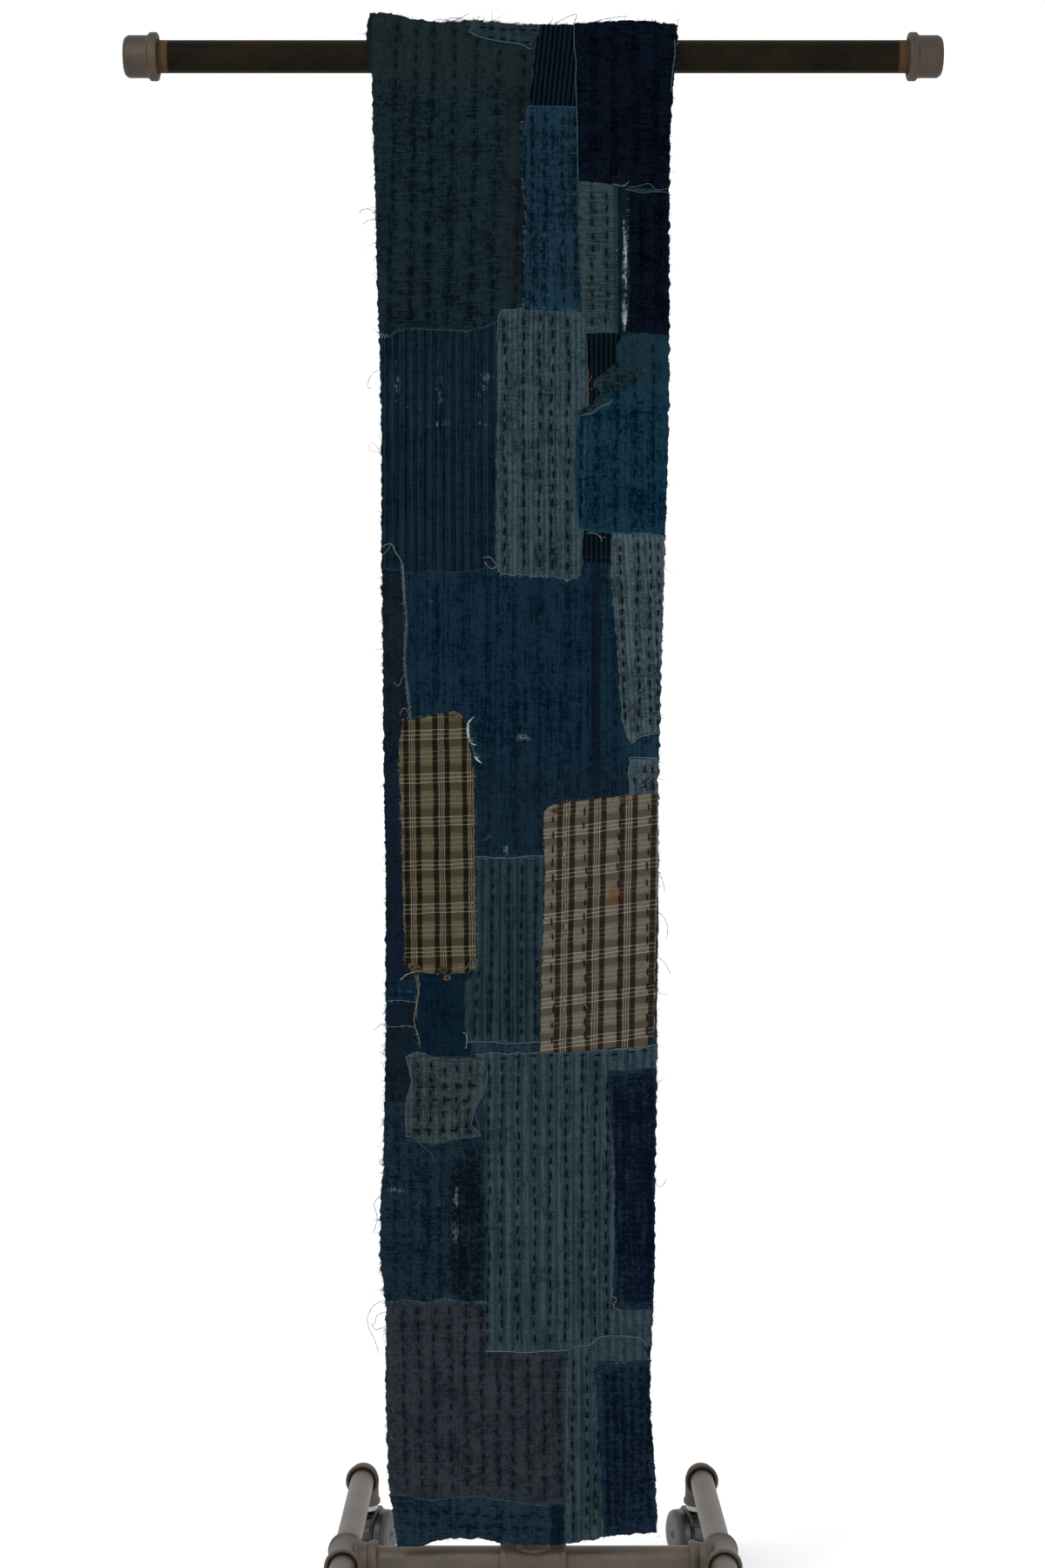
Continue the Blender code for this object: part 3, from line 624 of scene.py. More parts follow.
def front_field():
    """How far back the solid cloth's front lies, from rays cast at it, with its facets smoothed."""
    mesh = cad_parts["cloth"].data
    corners = [vertex.co for vertex in mesh.vertices]
    tree = BVHTree.FromPolygons(corners, [face.vertices[:] for face in mesh.polygons])
    columns, levels = np.arange(-174, 152, 5.0), np.arange(110, 1700, 6.0)
    found = np.full((len(levels), len(columns)), np.nan)
    for i, z in enumerate(levels):
        for j, x in enumerate(columns):
            hit = tree.ray_cast(Vector((x * MM, -1, z * MM)), Vector((0, 1, 0)))[0]
            if hit:
                found[i, j] = hit.y
    rows = []
    for row in found:
        good = ~np.isnan(row)
        rows.append(np.interp(columns, columns[good], row[good]) if good.any() else row)
    rows = np.array(rows)
    whole = ~np.isnan(rows[:, 0])
    rows = np.array([np.interp(levels, levels[whole], line[whole]) for line in rows.T]).T
    wide = np.array([np.interp(FIELD_X, columns, row) for row in rows])
    full = np.array([np.interp(FIELD_Z, levels, line) for line in wide.T]).T
    return blurred(full, 8, 9)


def stitch_points(row_list, dash, repeat, seed):
    """The middle, direction and length of each dash in some rows, each row slightly wandering."""
    chance = np.random.default_rng(seed)
    found = []
    for x0, z0, x1, z1 in row_list:
        length = np.hypot(x1 - x0, z1 - z0)
        count = int(length / repeat)
        at = (np.arange(count) + 0.5 + chance.uniform(-0.12, 0.12, count)) / count
        x, z = x0 + (x1 - x0) * at, z0 + (z1 - z0) * at
        off = wander(at * length, int(chance.integers(1e6)), 0.8, 90)
        off = off + chance.normal(0, 0.25, count)
        way = np.array([x1 - x0, z1 - z0]) / length
        tilt = chance.normal(0, 0.06, count)
        direction = np.stack([way[0] + tilt * way[1], way[1] - tilt * way[0]], axis=1)
        size = dash * chance.uniform(0.78, 1.15, count)
        found.append(np.column_stack([x + off * way[1], z - off * way[0], direction, size]))
    return np.concatenate(found)


def hollow_field(dashes):
    """1 where a stitch pulls the cloth in: the dashes' points dropped on the field, and blurred."""
    field = np.zeros((len(FIELD_Z), len(FIELD_X)))
    for share in np.linspace(-0.5, 0.5, 9):
        x = dashes[:, 0] + dashes[:, 2] * dashes[:, 4] * share
        z = dashes[:, 1] + dashes[:, 3] * dashes[:, 4] * share
        up = (z - FIELD_Z[0]).round().astype(int)
        across = (x - FIELD_X[0]).round().astype(int)
        np.add.at(field, (up, across), 1.0)
    return np.clip(blurred(np.clip(field, 0, 1.4), 1.5, 1.9) * 1.5, 0, 1)


# Wrinkles: height in millimetres, seed, and cell sizes across and up
WRINKLES = [(0.24, 3, 2.6, 6.5), (0.30, 4, 7, 13), (0.45, 5, 18, 40), (0.11, 6, 1.5, 1.5)]
# Puckered places: middle and half width, middle and half height, how square, then as above
PUCKERS = [
    (-100, 60, 405, 45, 4, 0.38, 7, 8, 1.9),
    (100, 22, 485, 118, 6, 0.25, 8, 2.0, 2.4),
    (100, 22, 222, 82, 6, 0.25, 8, 2.0, 2.4),
]
# How far a crease's tip fades; how much flatter the cloth is at the bar, and how far about it
CREASE_TIP, AT_BAR_FLAT, AT_BAR_HALF = 12, 0.75, 26


def hump(place, middle, half, power):
    """1 at the middle, falling at about half a width from it, the more squarely the higher the
    power."""
    return np.exp(-(((place - middle) / half) ** power))


def relief_field(hollow):
    """Back (+) and forward (-) in millimetres: hollows at stitches, seeded wrinkles and creases."""
    x, z = np.meshgrid(FIELD_X, FIELD_Z)
    field = 1.5 * hollow - 0.70 * blurred(hollow, 5, 6)
    for height, *grain in WRINKLES:
        field += height * grain_field(*grain)
    for mid_x, half_x, mid_z, half_z, power, height, *grain in PUCKERS:
        field += height * hump(x, mid_x, half_x, power) * hump(z, mid_z, half_z, power) * (
            grain_field(*grain)
        )
    for x0, z0, x1, z1, wide, rise in CREASES:
        length = np.hypot(x1 - x0, z1 - z0)
        along = ((x - x0) * (x1 - x0) + (z - z0) * (z1 - z0)) / length
        aside = ((x - x0) * (z1 - z0) - (z - z0) * (x1 - x0)) / length
        ends = np.clip(along / CREASE_TIP, 0, 1) * np.clip((length - along) / CREASE_TIP, 0, 1)
        field -= rise * ends * ends * np.exp(-((aside / wide) ** 2))
    return field * (1 - AT_BAR_FLAT * hump(z, BAR_Z / MM, AT_BAR_HALF, 4))


def worn_field():
    """Pale worn places from the table, as soft ovals."""
    x, z = np.meshgrid(FIELD_X, FIELD_Z)
    field = np.zeros_like(x)
    for mid_x, mid_z, wide, high, strength in WORN:
        field += strength * np.exp(-(((x - mid_x) / wide) ** 2) - ((z - mid_z) / high) ** 2)
    return np.clip(field, 0, 1)


DASHES = [
    stitch_points(rows, dash, repeat, 100 + number)
    for number, (_, _, dash, repeat, rows) in enumerate(STITCHES)
]
FRONT = front_field()
HOLLOW = hollow_field(np.concatenate(DASHES))
# Painted shade: the stitch hollows blurred along the rows, which the finish darkens along each row
# of stitches
ROW_SHADE = np.clip(blurred(HOLLOW, 2.4, 12) * 1.9, 0, 1)
RELIEF = relief_field(HOLLOW)
WEAR = worn_field()
LAYER = 0.45
BACKING_FRONT = 1.2
EDGE_PITCH = 1.2
PATCH_PITCH = 2.4
PATCH_THICKNESS = 0.40 * MM
BACKING_THICKNESS = 0.9 * MM
TEAR_THICKNESS = 0.3 * MM
TEAR_LEVEL = 2.3
# Flaps from this level up keep their drawn outline, without a wander
FLAP_LEVEL = 4
# The backing's rows and columns, its gaps inside the side and end edges, and its span across
BACKING_GRID = (320, 62, 0.5, 0.8)
BACKING_SPAN = [-165, 146]
# How far from a pale fold a surface without one counts as, in millimetres
FAR = 99
# Heights of a patch's hem, and where it lies; how far its edge is tucked in; in millimetres
HEM_RISE, HEM_FROM_EDGE, HEM_HALF = 0.22, 2.6, 1.5
TUCK, TUCK_FADE = 0.34, 0.45
# Seed, height and size of the waves of a patch's outline
OUTLINE_WAVES = {"x": ((500, 0.6, 21), (700, 0.25, 6)), "z": ((600, 0.6, 23), (800, 0.25, 6))}


def depth(x, z, level):
    """Where a layer's front lies (metres, +Y back) at points in millimetres."""
    return read(FRONT, x, z) + (BACKING_FRONT + read(RELIEF, x, z) - LAYER * level) * MM


def top_level(x, z):
    """The highest layer at each point: the biggest level of the patches that hold it."""
    best = np.zeros(np.shape(x))
    for outline, level in OUTLINES:
        best = np.where(inside(outline, x, z) & (level > best), level, best)
    return best


def inside(outline, x, z):
    """Whether points lie in a closed outline: the count of edges crossed to the right is odd."""
    ax, az = outline[:, 0][:, None], outline[:, 1][:, None]
    bx, bz = np.roll(outline[:, 0], -1)[:, None], np.roll(outline[:, 1], -1)[:, None]
    flat_x, flat_z = np.ravel(x)[None], np.ravel(z)[None]
    crosses = (az > flat_z) != (bz > flat_z)
    reach = ax + (bx - ax) * (flat_z - az) / np.where(bz == az, 1e-9, bz - az)
    return ((crosses & (flat_x < reach)).sum(0) % 2 == 1).reshape(np.shape(x))


OUTLINES = []


# ---------------------------------------------------------------- patches as surfaces
def along(points, share):
    """Points at shares of a line's length."""
    points = np.array(points, float)
    steps = np.concatenate([[0], np.cumsum(np.hypot(*np.diff(points, axis=0).T))])
    steps /= steps[-1]
    return np.stack([np.interp(share, steps, line) for line in points.T], axis=-1)


def shares(length, pitch):
    """Shares from 0 to 1 about a pitch apart, with two more rows close to each end."""
    even = np.linspace(0, 1, max(3, int(np.ceil(length / pitch)) + 1))
    close = np.array([0.45, 1.3]) / length
    return np.unique(np.concatenate([even, close, 1 - close]).round(6))


def patch_edges(patch):
    """The patch's four edges and corners, with the cloth's own edges where the table says so."""
    top, bottom = np.array(patch["top"], float), np.array(patch["bottom"], float)
    left, right = patch.get("left", []), patch.get("right", [])
    for edge, column in ((left, 1), (right, 2)):
        if isinstance(edge, str):
            end = 0 if column == 1 else -1
            top[end, 0] = side_edge(top[end, 1], column)
            bottom[end, 0] = side_edge(bottom[end, 1], column)

    def side(edge, column, end):
        first, last = top[end], bottom[end]
        if isinstance(edge, str):
            z = np.linspace(first[1], last[1], max(3, int((first[1] - last[1]) / EDGE_PITCH)))
            return np.stack([side_edge(z, column), z], axis=-1)
        return np.array([first, *edge, last])

    def finish(line, edge, column):
        if edge is None:
            return line
        steps = max(3, int(abs(line[-1, 0] - line[0, 0]) / EDGE_PITCH))
        x = np.linspace(line[0, 0], line[-1, 0], steps)
        return np.stack([x, end_edge(x, column)], axis=-1)

    top = finish(top, patch.get("top_edge"), 1)
    bottom = finish(bottom, patch.get("bottom_edge"), 2)
    return top, side(right, 2, -1), bottom, side(left, 1, 0)


def surface_fields(x, z, edge, pale, wear):
    """What a cloth's finish reads at each point: the distance from its edge and from its pale
    folds, the hollows at stitches, the wear, and the painted shade along rows of stitches; the
    finish also darkens the hollows as painted shade."""
    return {
        "edge": edge,
        "pale": pale,
        "hollow": read(HOLLOW, x, z),
        "wear": wear,
        "row_shade": read(ROW_SHADE, x, z),
    }


def lay(patch, seed):
    """A surface between four edges: what is straight between left and right, plus what is
    straight between top and bottom, less what is straight between the four corners."""
    top, right, bottom, left = patch_edges(patch)
    wide = np.abs(top[-1, 0] - top[0, 0] + bottom[-1, 0] - bottom[0, 0]) / 2
    high = np.abs(top[0, 1] - bottom[0, 1] + top[-1, 1] - bottom[-1, 1]) / 2
    u, v = shares(wide, PATCH_PITCH), shares(high, PATCH_PITCH)
    t, b, l, r = along(top, u), along(bottom, u), along(left, v), along(right, v)
    U, V = u[None, :, None], v[:, None, None]
    across = (1 - U) * l[:, None] + U * r[:, None]
    down = (1 - V) * t[None] + V * b[None]
    corners = (1 - V) * ((1 - U) * t[0] + U * t[-1]) + V * ((1 - U) * b[0] + U * b[-1])
    flat = across + down - corners
    x, z = flat[..., 0], flat[..., 1]
    if patch["level"] < FLAP_LEVEL:
        (far, far_height, far_size), (near, near_height, near_size) = OUTLINE_WAVES["x"]
        x = x + wander(z + 0.31 * x, far + seed, far_height, far_size) + wander(
            z + 0.5 * x, near + seed, near_height, near_size
        )
        (far, far_height, far_size), (near, near_height, near_size) = OUTLINE_WAVES["z"]
        z = z + wander(x + 0.17 * z, far + seed, far_height, far_size) + wander(
            x + 0.4 * z, near + seed, near_height, near_size
        )
    gaps = {
        "l": u[None, :] * wide + 0 * v[:, None],
        "r": (1 - u)[None, :] * wide + 0 * v[:, None],
        "t": v[:, None] * high + 0 * u[None, :],
        "b": (1 - v)[:, None] * high + 0 * u[None, :],
    }
    edge = np.minimum.reduce(list(gaps.values()))
    light = [gaps[letter] for letter in patch.get("light", "")]
    pale = np.minimum.reduce(light) if light else edge * 0 + FAR
    hem = np.exp(-((edge - HEM_FROM_EDGE) / HEM_HALF) ** 2) * HEM_RISE
    tuck = TUCK * np.exp(-edge / TUCK_FADE)
    y = depth(x, z, patch["level"]) + (tuck - hem) * MM
    flat = np.stack([x, z], -1)
    loop = np.concatenate([flat[0], flat[1:, -1], flat[-1, -2::-1], flat[-2:0:-1, 0]])
    OUTLINES.append((loop, patch["level"]))
    turn = radians(patch.get("grain", 0))
    shift = np.random.default_rng(900 + seed).uniform(0, 3, 2)
    weave_u = x * MM * cos(turn) + z * MM * sin(turn)
    weave_v = z * MM * cos(turn) - x * MM * sin(turn)
    obj = build(
        patch["name"],
        in_metres(x, y, z),
        grid_faces(*x.shape),
        CLOTHS[patch["cloth"]],
        attributes=surface_fields(x, z, edge, pale, read(WEAR, x, z)),
        uv=np.stack([weave_u, weave_v], -1) + shift,
    )
    thicken(obj, PATCH_THICKNESS)
    return obj


def thicken(obj, thickness):
    """Gives a front surface its thickness, behind it."""
    wall = obj.modifiers.new("thickness", "SOLIDIFY")
    wall.thickness = thickness
    wall.offset = -1


def backing():
    """The dark cloth that the patches lie on, inside the outline by a little."""
    rows, columns, side_gap, end_gap = BACKING_GRID
    z = np.linspace(1, 0, rows)[:, None]
    u = np.linspace(0, 1, columns)[None, :]
    rough_x = np.interp(u, [0, 1], BACKING_SPAN)
    high = end_edge(rough_x, 1) - end_gap
    low = end_edge(rough_x, 2) + end_gap
    z = low + (high - low) * z
    left, right = side_edge(z, 1) + side_gap, side_edge(z, 2) - side_gap
    x = left + (right - left) * u
    y = depth(x, z, 0)
    edge = np.minimum(x - left, right - x)
    obj = build(
        "boro_backing",
        in_metres(x, y, z),
        grid_faces(*x.shape),
        CLOTHS["backing"],
        attributes=surface_fields(x, z, edge, edge * 0 + FAR, x * 0),
        uv=np.stack([x, z], -1) * MM,
    )
    thicken(obj, BACKING_THICKNESS)
    return obj


# ---------------------------------------------------------------- threads
def threads(name, paths, radii, finish, sides=4):
    """Many short threads in one mesh, each with its own tone from 0 to 1."""
    points, faces = tube(paths, radii, sides)
    tones = np.repeat(CHANCE.uniform(size=len(paths)), paths.shape[1] * sides)
    return build(name, points, faces.tolist(), finish, attributes={"tone": tones})


# How deep a stitch's ends dive, in radii, and how far its middle sinks, in millimetres
STITCH_DIVE, STITCH_SUNK = 1.9, 0.12


def running_stitches(name, dashes, radius, finish):
    """Each dash is a short thread that dives into the cloth at both ends: a flattened arc whose
    height above the top layer falls with the sixth power of the share from its middle."""
    share = np.array([-1, -0.86, -0.45, 0.0, 0.45, 0.86, 1])
    reach = share[None, :] * dashes[:, 4:5] / 2
    x = dashes[:, 0:1] + dashes[:, 2:3] * reach
    z = dashes[:, 1:2] + dashes[:, 3:4] * reach
    level = top_level(dashes[:, 0], dashes[:, 1])[:, None]
    rise = radius * (1.0 - STITCH_DIVE * np.abs(share) ** 6)[None, :]
    y = depth(x, z, level) - (rise - STITCH_SUNK) * MM
    thin = 1 - 0.45 * np.abs(share) ** 4
    radii = radius * MM * thin[None, :] * CHANCE.uniform(0.85, 1.15, (len(x), 1))
    return threads(name, in_metres(x, y, z), radii, finish)


def fray(line, count, length, outward, spread, seed, clump=0.35):
    """Short strands from a line of points: (count, 4, 2) paths that start on it and lean outward.

    A strand is its root + share x length x its direction, bent aside by share squared."""
    chance = np.random.default_rng(seed)
    at = chance.uniform(size=count)
    cluster = chance.uniform(size=max(3, count // 9))
    near = cluster[chance.integers(len(cluster), size=count)] + chance.normal(0, 0.004, count)
    at = np.where(chance.uniform(size=count) < clump, np.clip(near, 0, 1), at)
    root = along(line, at)
    angle = np.arctan2(outward[1], outward[0]) + chance.normal(0, spread, count)
    size = length * np.clip(chance.exponential(0.55, count) + 0.18, 0.15, 2.6)
    bend = chance.normal(0, 0.45, count)
    share = np.array([-0.25, 0.25, 0.65, 1.0])
    way = np.stack([np.cos(angle), np.sin(angle)], -1)
    aside = np.stack([-way[:, 1], way[:, 0]], -1)
    return (
        root[:, None]
        + share[None, :, None] * (size[:, None] * way)[:, None]
        + (share**2)[None, :, None] * (size * bend)[:, None, None] * aside[:, None]
    )


def strands(name, flat, radius, finish, level, lift=0.3, seed=0):
    """Flat strands laid on a layer, their tips lifted a little off it."""
    chance = np.random.default_rng(seed + 70)
    x, z = flat[..., 0], flat[..., 1]
    share = np.linspace(0, 1, flat.shape[1])
    loose = chance.uniform(-0.4, 1.0, (len(flat), 1)) * share**2
    y = depth(x, z, level) - (0.1 + lift * loose) * MM
    radii = radius * MM * chance.uniform(0.6, 1.25, (len(flat), 1)) * (1 - 0.55 * share)[None, :]
    return threads(name, in_metres(x, y, z), radii, finish)


# ---------------------------------------------------------------- finishes of cloth
# Noise drawn out along the yarns: stretch across and along, cells to a metre, detail
YARNS = [
    ("warp", 1, 0.035, 1000, 2),
    ("broad", 1, 0.02, 300, 3),
    ("weft", 0.05, 1, 800, 2),
    ("slubs", 0.10, 1, 380, 2),
]
# Distance from yarn to yarn, across and along, in metres
WARP_PITCH, WEFT_PITCH = 0.00085, 0.00095


def cloth_finish(name, deep, faded, streak=0.5, slub=0.5, mottle=0.5, stripes=(), bands=(),
                 fleck=0.0, pale=(70, 88, 96), worn=(120, 138, 150)):
    """Hand-woven cotton: dye that fades along the yarns, stripes, painted shade in the hollows at
    the stitches and along their rows, worn high places, a pale fold, and a bump of warp and weft."""
    finish = Finish(name)
    uv = finish.add("UVMap", {"uv_map": "weave"})
    place = finish.add("TexCoord", {}, output=3)
    u, v, _ = finish.spread(uv)
    x, _, z = finish.spread(place)
    warp, broad, weft, slubs = [
        finish.noise(finish.stretched(uv, across, along_yarn), cells, detail)
        for _, across, along_yarn, cells, detail in YARNS
    ]
    cloudy = finish.noise(place, 34, 4, 0.6)
    spotty = finish.noise(place, 200, 4, 0.7)
    grain = finish.noise(place, 520, 2, 0.7)
    tone = 0.5 + streak * ((warp - 0.5) * 3.2 + (broad - 0.5) * 2.8)
    tone = tone + slub * ((weft - 0.5) * 3.0 + (slubs - 0.5) * 1.2)
    uneven = (cloudy - 0.5) * 2.4 + (spotty - 0.5) * 3.4 + (grain - 0.5) * 3.4
    tone = tone + (0.3 + mottle) * uneven
    # Painted shade along the rows of stitches, and painted light between them
    tone = tone + 0.25 - 1.4 * finish.vertex("row_shade")
    colour = finish.mix(tone, shade(*deep), shade(*faded))
    for pitch, shift, half, soft, tint, amount in stripes:
        across = ((u / (pitch * MM)) + shift + (broad - 0.5) * 0.25).part()
        colour = finish.mix(across.line(0.5, half, soft) * amount, colour, shade(*tint))
    for axis, middle, half, soft, tint, amount in bands:
        line = {"x": x, "z": z}[axis].line(middle * MM, half * MM, soft * MM)
        rough = amount + (warp - 0.5) * 1.2 + (spotty - 0.5)
        colour = finish.mix(line * rough, colour, shade(*tint))
    # Painted shade: the hollows at the stitches are darkened toward a shadow colour
    hollow = finish.vertex("hollow")
    shadow = shade(deep[0] * 0.35, deep[1] * 0.4, deep[2] * 0.45)
    colour = finish.mix(hollow * 0.85, colour, shadow)
    dots = finish.noise(finish.stretched(uv, 1, 0.6), 1300, 1).rise(0.70, 0.80)
    colour = finish.mix(dots * fleck, colour, shade(*worn))
    wear = finish.vertex("wear")
    rubbed = (wear + (spotty - 0.5) * 2.0 + (warp - 0.5) * 1.6).rise(0.50, 1.25)
    colour = finish.mix(rubbed * wear.rise(0.02, 0.3), colour, shade(*worn))
    edge = finish.vertex("pale")
    fold = (edge + (spotty - 0.5) * 2.2 + (cloudy - 0.5) * 1.4).rise(1.25, 0.35)
    colour = finish.mix(fold * (0.30 + (spotty - 0.3) * 1.8), colour, shade(*pale))
    finish.set(Base_Color=colour, Roughness=0.94 - 0.12 * warp, Specular_IOR_Level=0.0)
    yarns = (u * (2 * pi / WARP_PITCH)).wave() * (v * (2 * pi / WEFT_PITCH)).wave()
    height = warp * 0.30 * streak + weft * 0.45 * slub + slubs * 0.35 + spotty * 0.35 + yarns * 0.10
    finish.bump(height, 1.0, 0.0022)
    return finish.material


def plaid_finish(name, ground, khaki, brown, dark, cream, repeat_x, repeat_z, crossing, turn, slope,
                 rust=None):
    """Brown checked cotton. Both ways a triple cream line runs in a brown ground, with a dark band
    on either side of it and khaki between. Two triple lines cross at crossing, in millimetres; the
    cloth is turned by so many degrees, and its weft rises by a slope."""
    finish = Finish(name)
    place = finish.add("TexCoord", {}, output=3)
    x, _, z = finish.spread(place)
    x = x - crossing[0] * MM
    z = z - crossing[1] * MM
    u = x * cos(radians(turn)) + z * sin(radians(turn))
    v = z * cos(radians(turn)) - x * sin(radians(turn)) - u * slope
    weave = finish.add("CombineXYZ", {}, {0: u, 1: v})
    cloudy = finish.noise(place, 40, 3, 0.6)
    spotty = finish.noise(place, 300, 3, 0.65)
    warp = finish.noise(finish.stretched(weave, 1, 0.04), 900, 2)
    weft = finish.noise(finish.stretched(weave, 0.05, 1), 800, 2)
    across = abs((u / (repeat_x * MM) + 0.5 + (cloudy - 0.5) * 0.08).part() - 0.5)
    up = abs((v / (repeat_z * MM) + 0.5 + (cloudy - 0.5) * 0.06).part() - 0.5)
    tone = (weft - 0.5) * 3.0 + (warp - 0.5) * 2.0 + (spotty - 0.5) * 1.6
    colour = finish.mix(across.rise(0.26, 0.31) * 0.9 + tone * 0.5, shade(*ground), shade(*khaki))
    colour = finish.mix(up.line(0.205, 0.075, 0.03) * 0.55 + tone * 0.15, colour, shade(*brown))
    band = across.line(0.205, 0.065, 0.03)
    colour = finish.mix(band * (0.84 + tone * 0.3), colour, shade(*dark))
    cream_lines = [
        (up, 0.5, 0.45), (up, 0.39, 0.4), (up, 0.10, 1.0), (up, 0.0, 1.0),
        (across, 0.0, 0.95), (across, 0.078, 0.95),
    ]
    for part, middle, amount in cream_lines:
        strength = amount + (spotty - 0.5) * 1.6 + (warp - 0.5) * 0.8
        line = part.line(middle, 0.001, 0.012) * strength * (1 - 0.5 * band)
        colour = finish.mix(line, colour, shade(*cream))
    if rust:
        right = x - (rust[0] - crossing[0]) * MM
        high = z - (rust[1] - crossing[1]) * MM
        spot = right.line(0, 0.001, 0.009) * high.line(0, 0.004, 0.014)
        colour = finish.mix(spot * (0.35 + (cloudy - 0.4) * 2), colour, shade(92, 58, 22))
    # Painted shade: the hollows at the stitches are darkened
    hollow = finish.vertex("hollow")
    colour = finish.mix(hollow * 0.5, colour, shade(18, 15, 12))
    finish.set(Base_Color=colour, Roughness=0.92 - 0.1 * warp, Specular_IOR_Level=0.0)
    finish.bump(warp * 0.35 + weft * 0.45 + spotty * 0.3, 0.8, 0.0014)
    return finish.material


def thread_finish(name, dull, bright):
    """Twisted cotton thread: two tones by strand, and a fine mottle along it."""
    finish = Finish(name)
    place = finish.add("TexCoord", {}, output=3)
    mottle = finish.noise(place, 900, 2)
    tone = finish.vertex("tone") * 0.7 + mottle * 0.5 - 0.1
    colour = finish.mix(tone, shade(*dull), shade(*bright))
    finish.set(Base_Color=colour, Roughness=0.88 + 0.06 * mottle, Specular_IOR_Level=0.04)
    finish.bump(mottle, 0.4, 0.0005)
    return finish.material


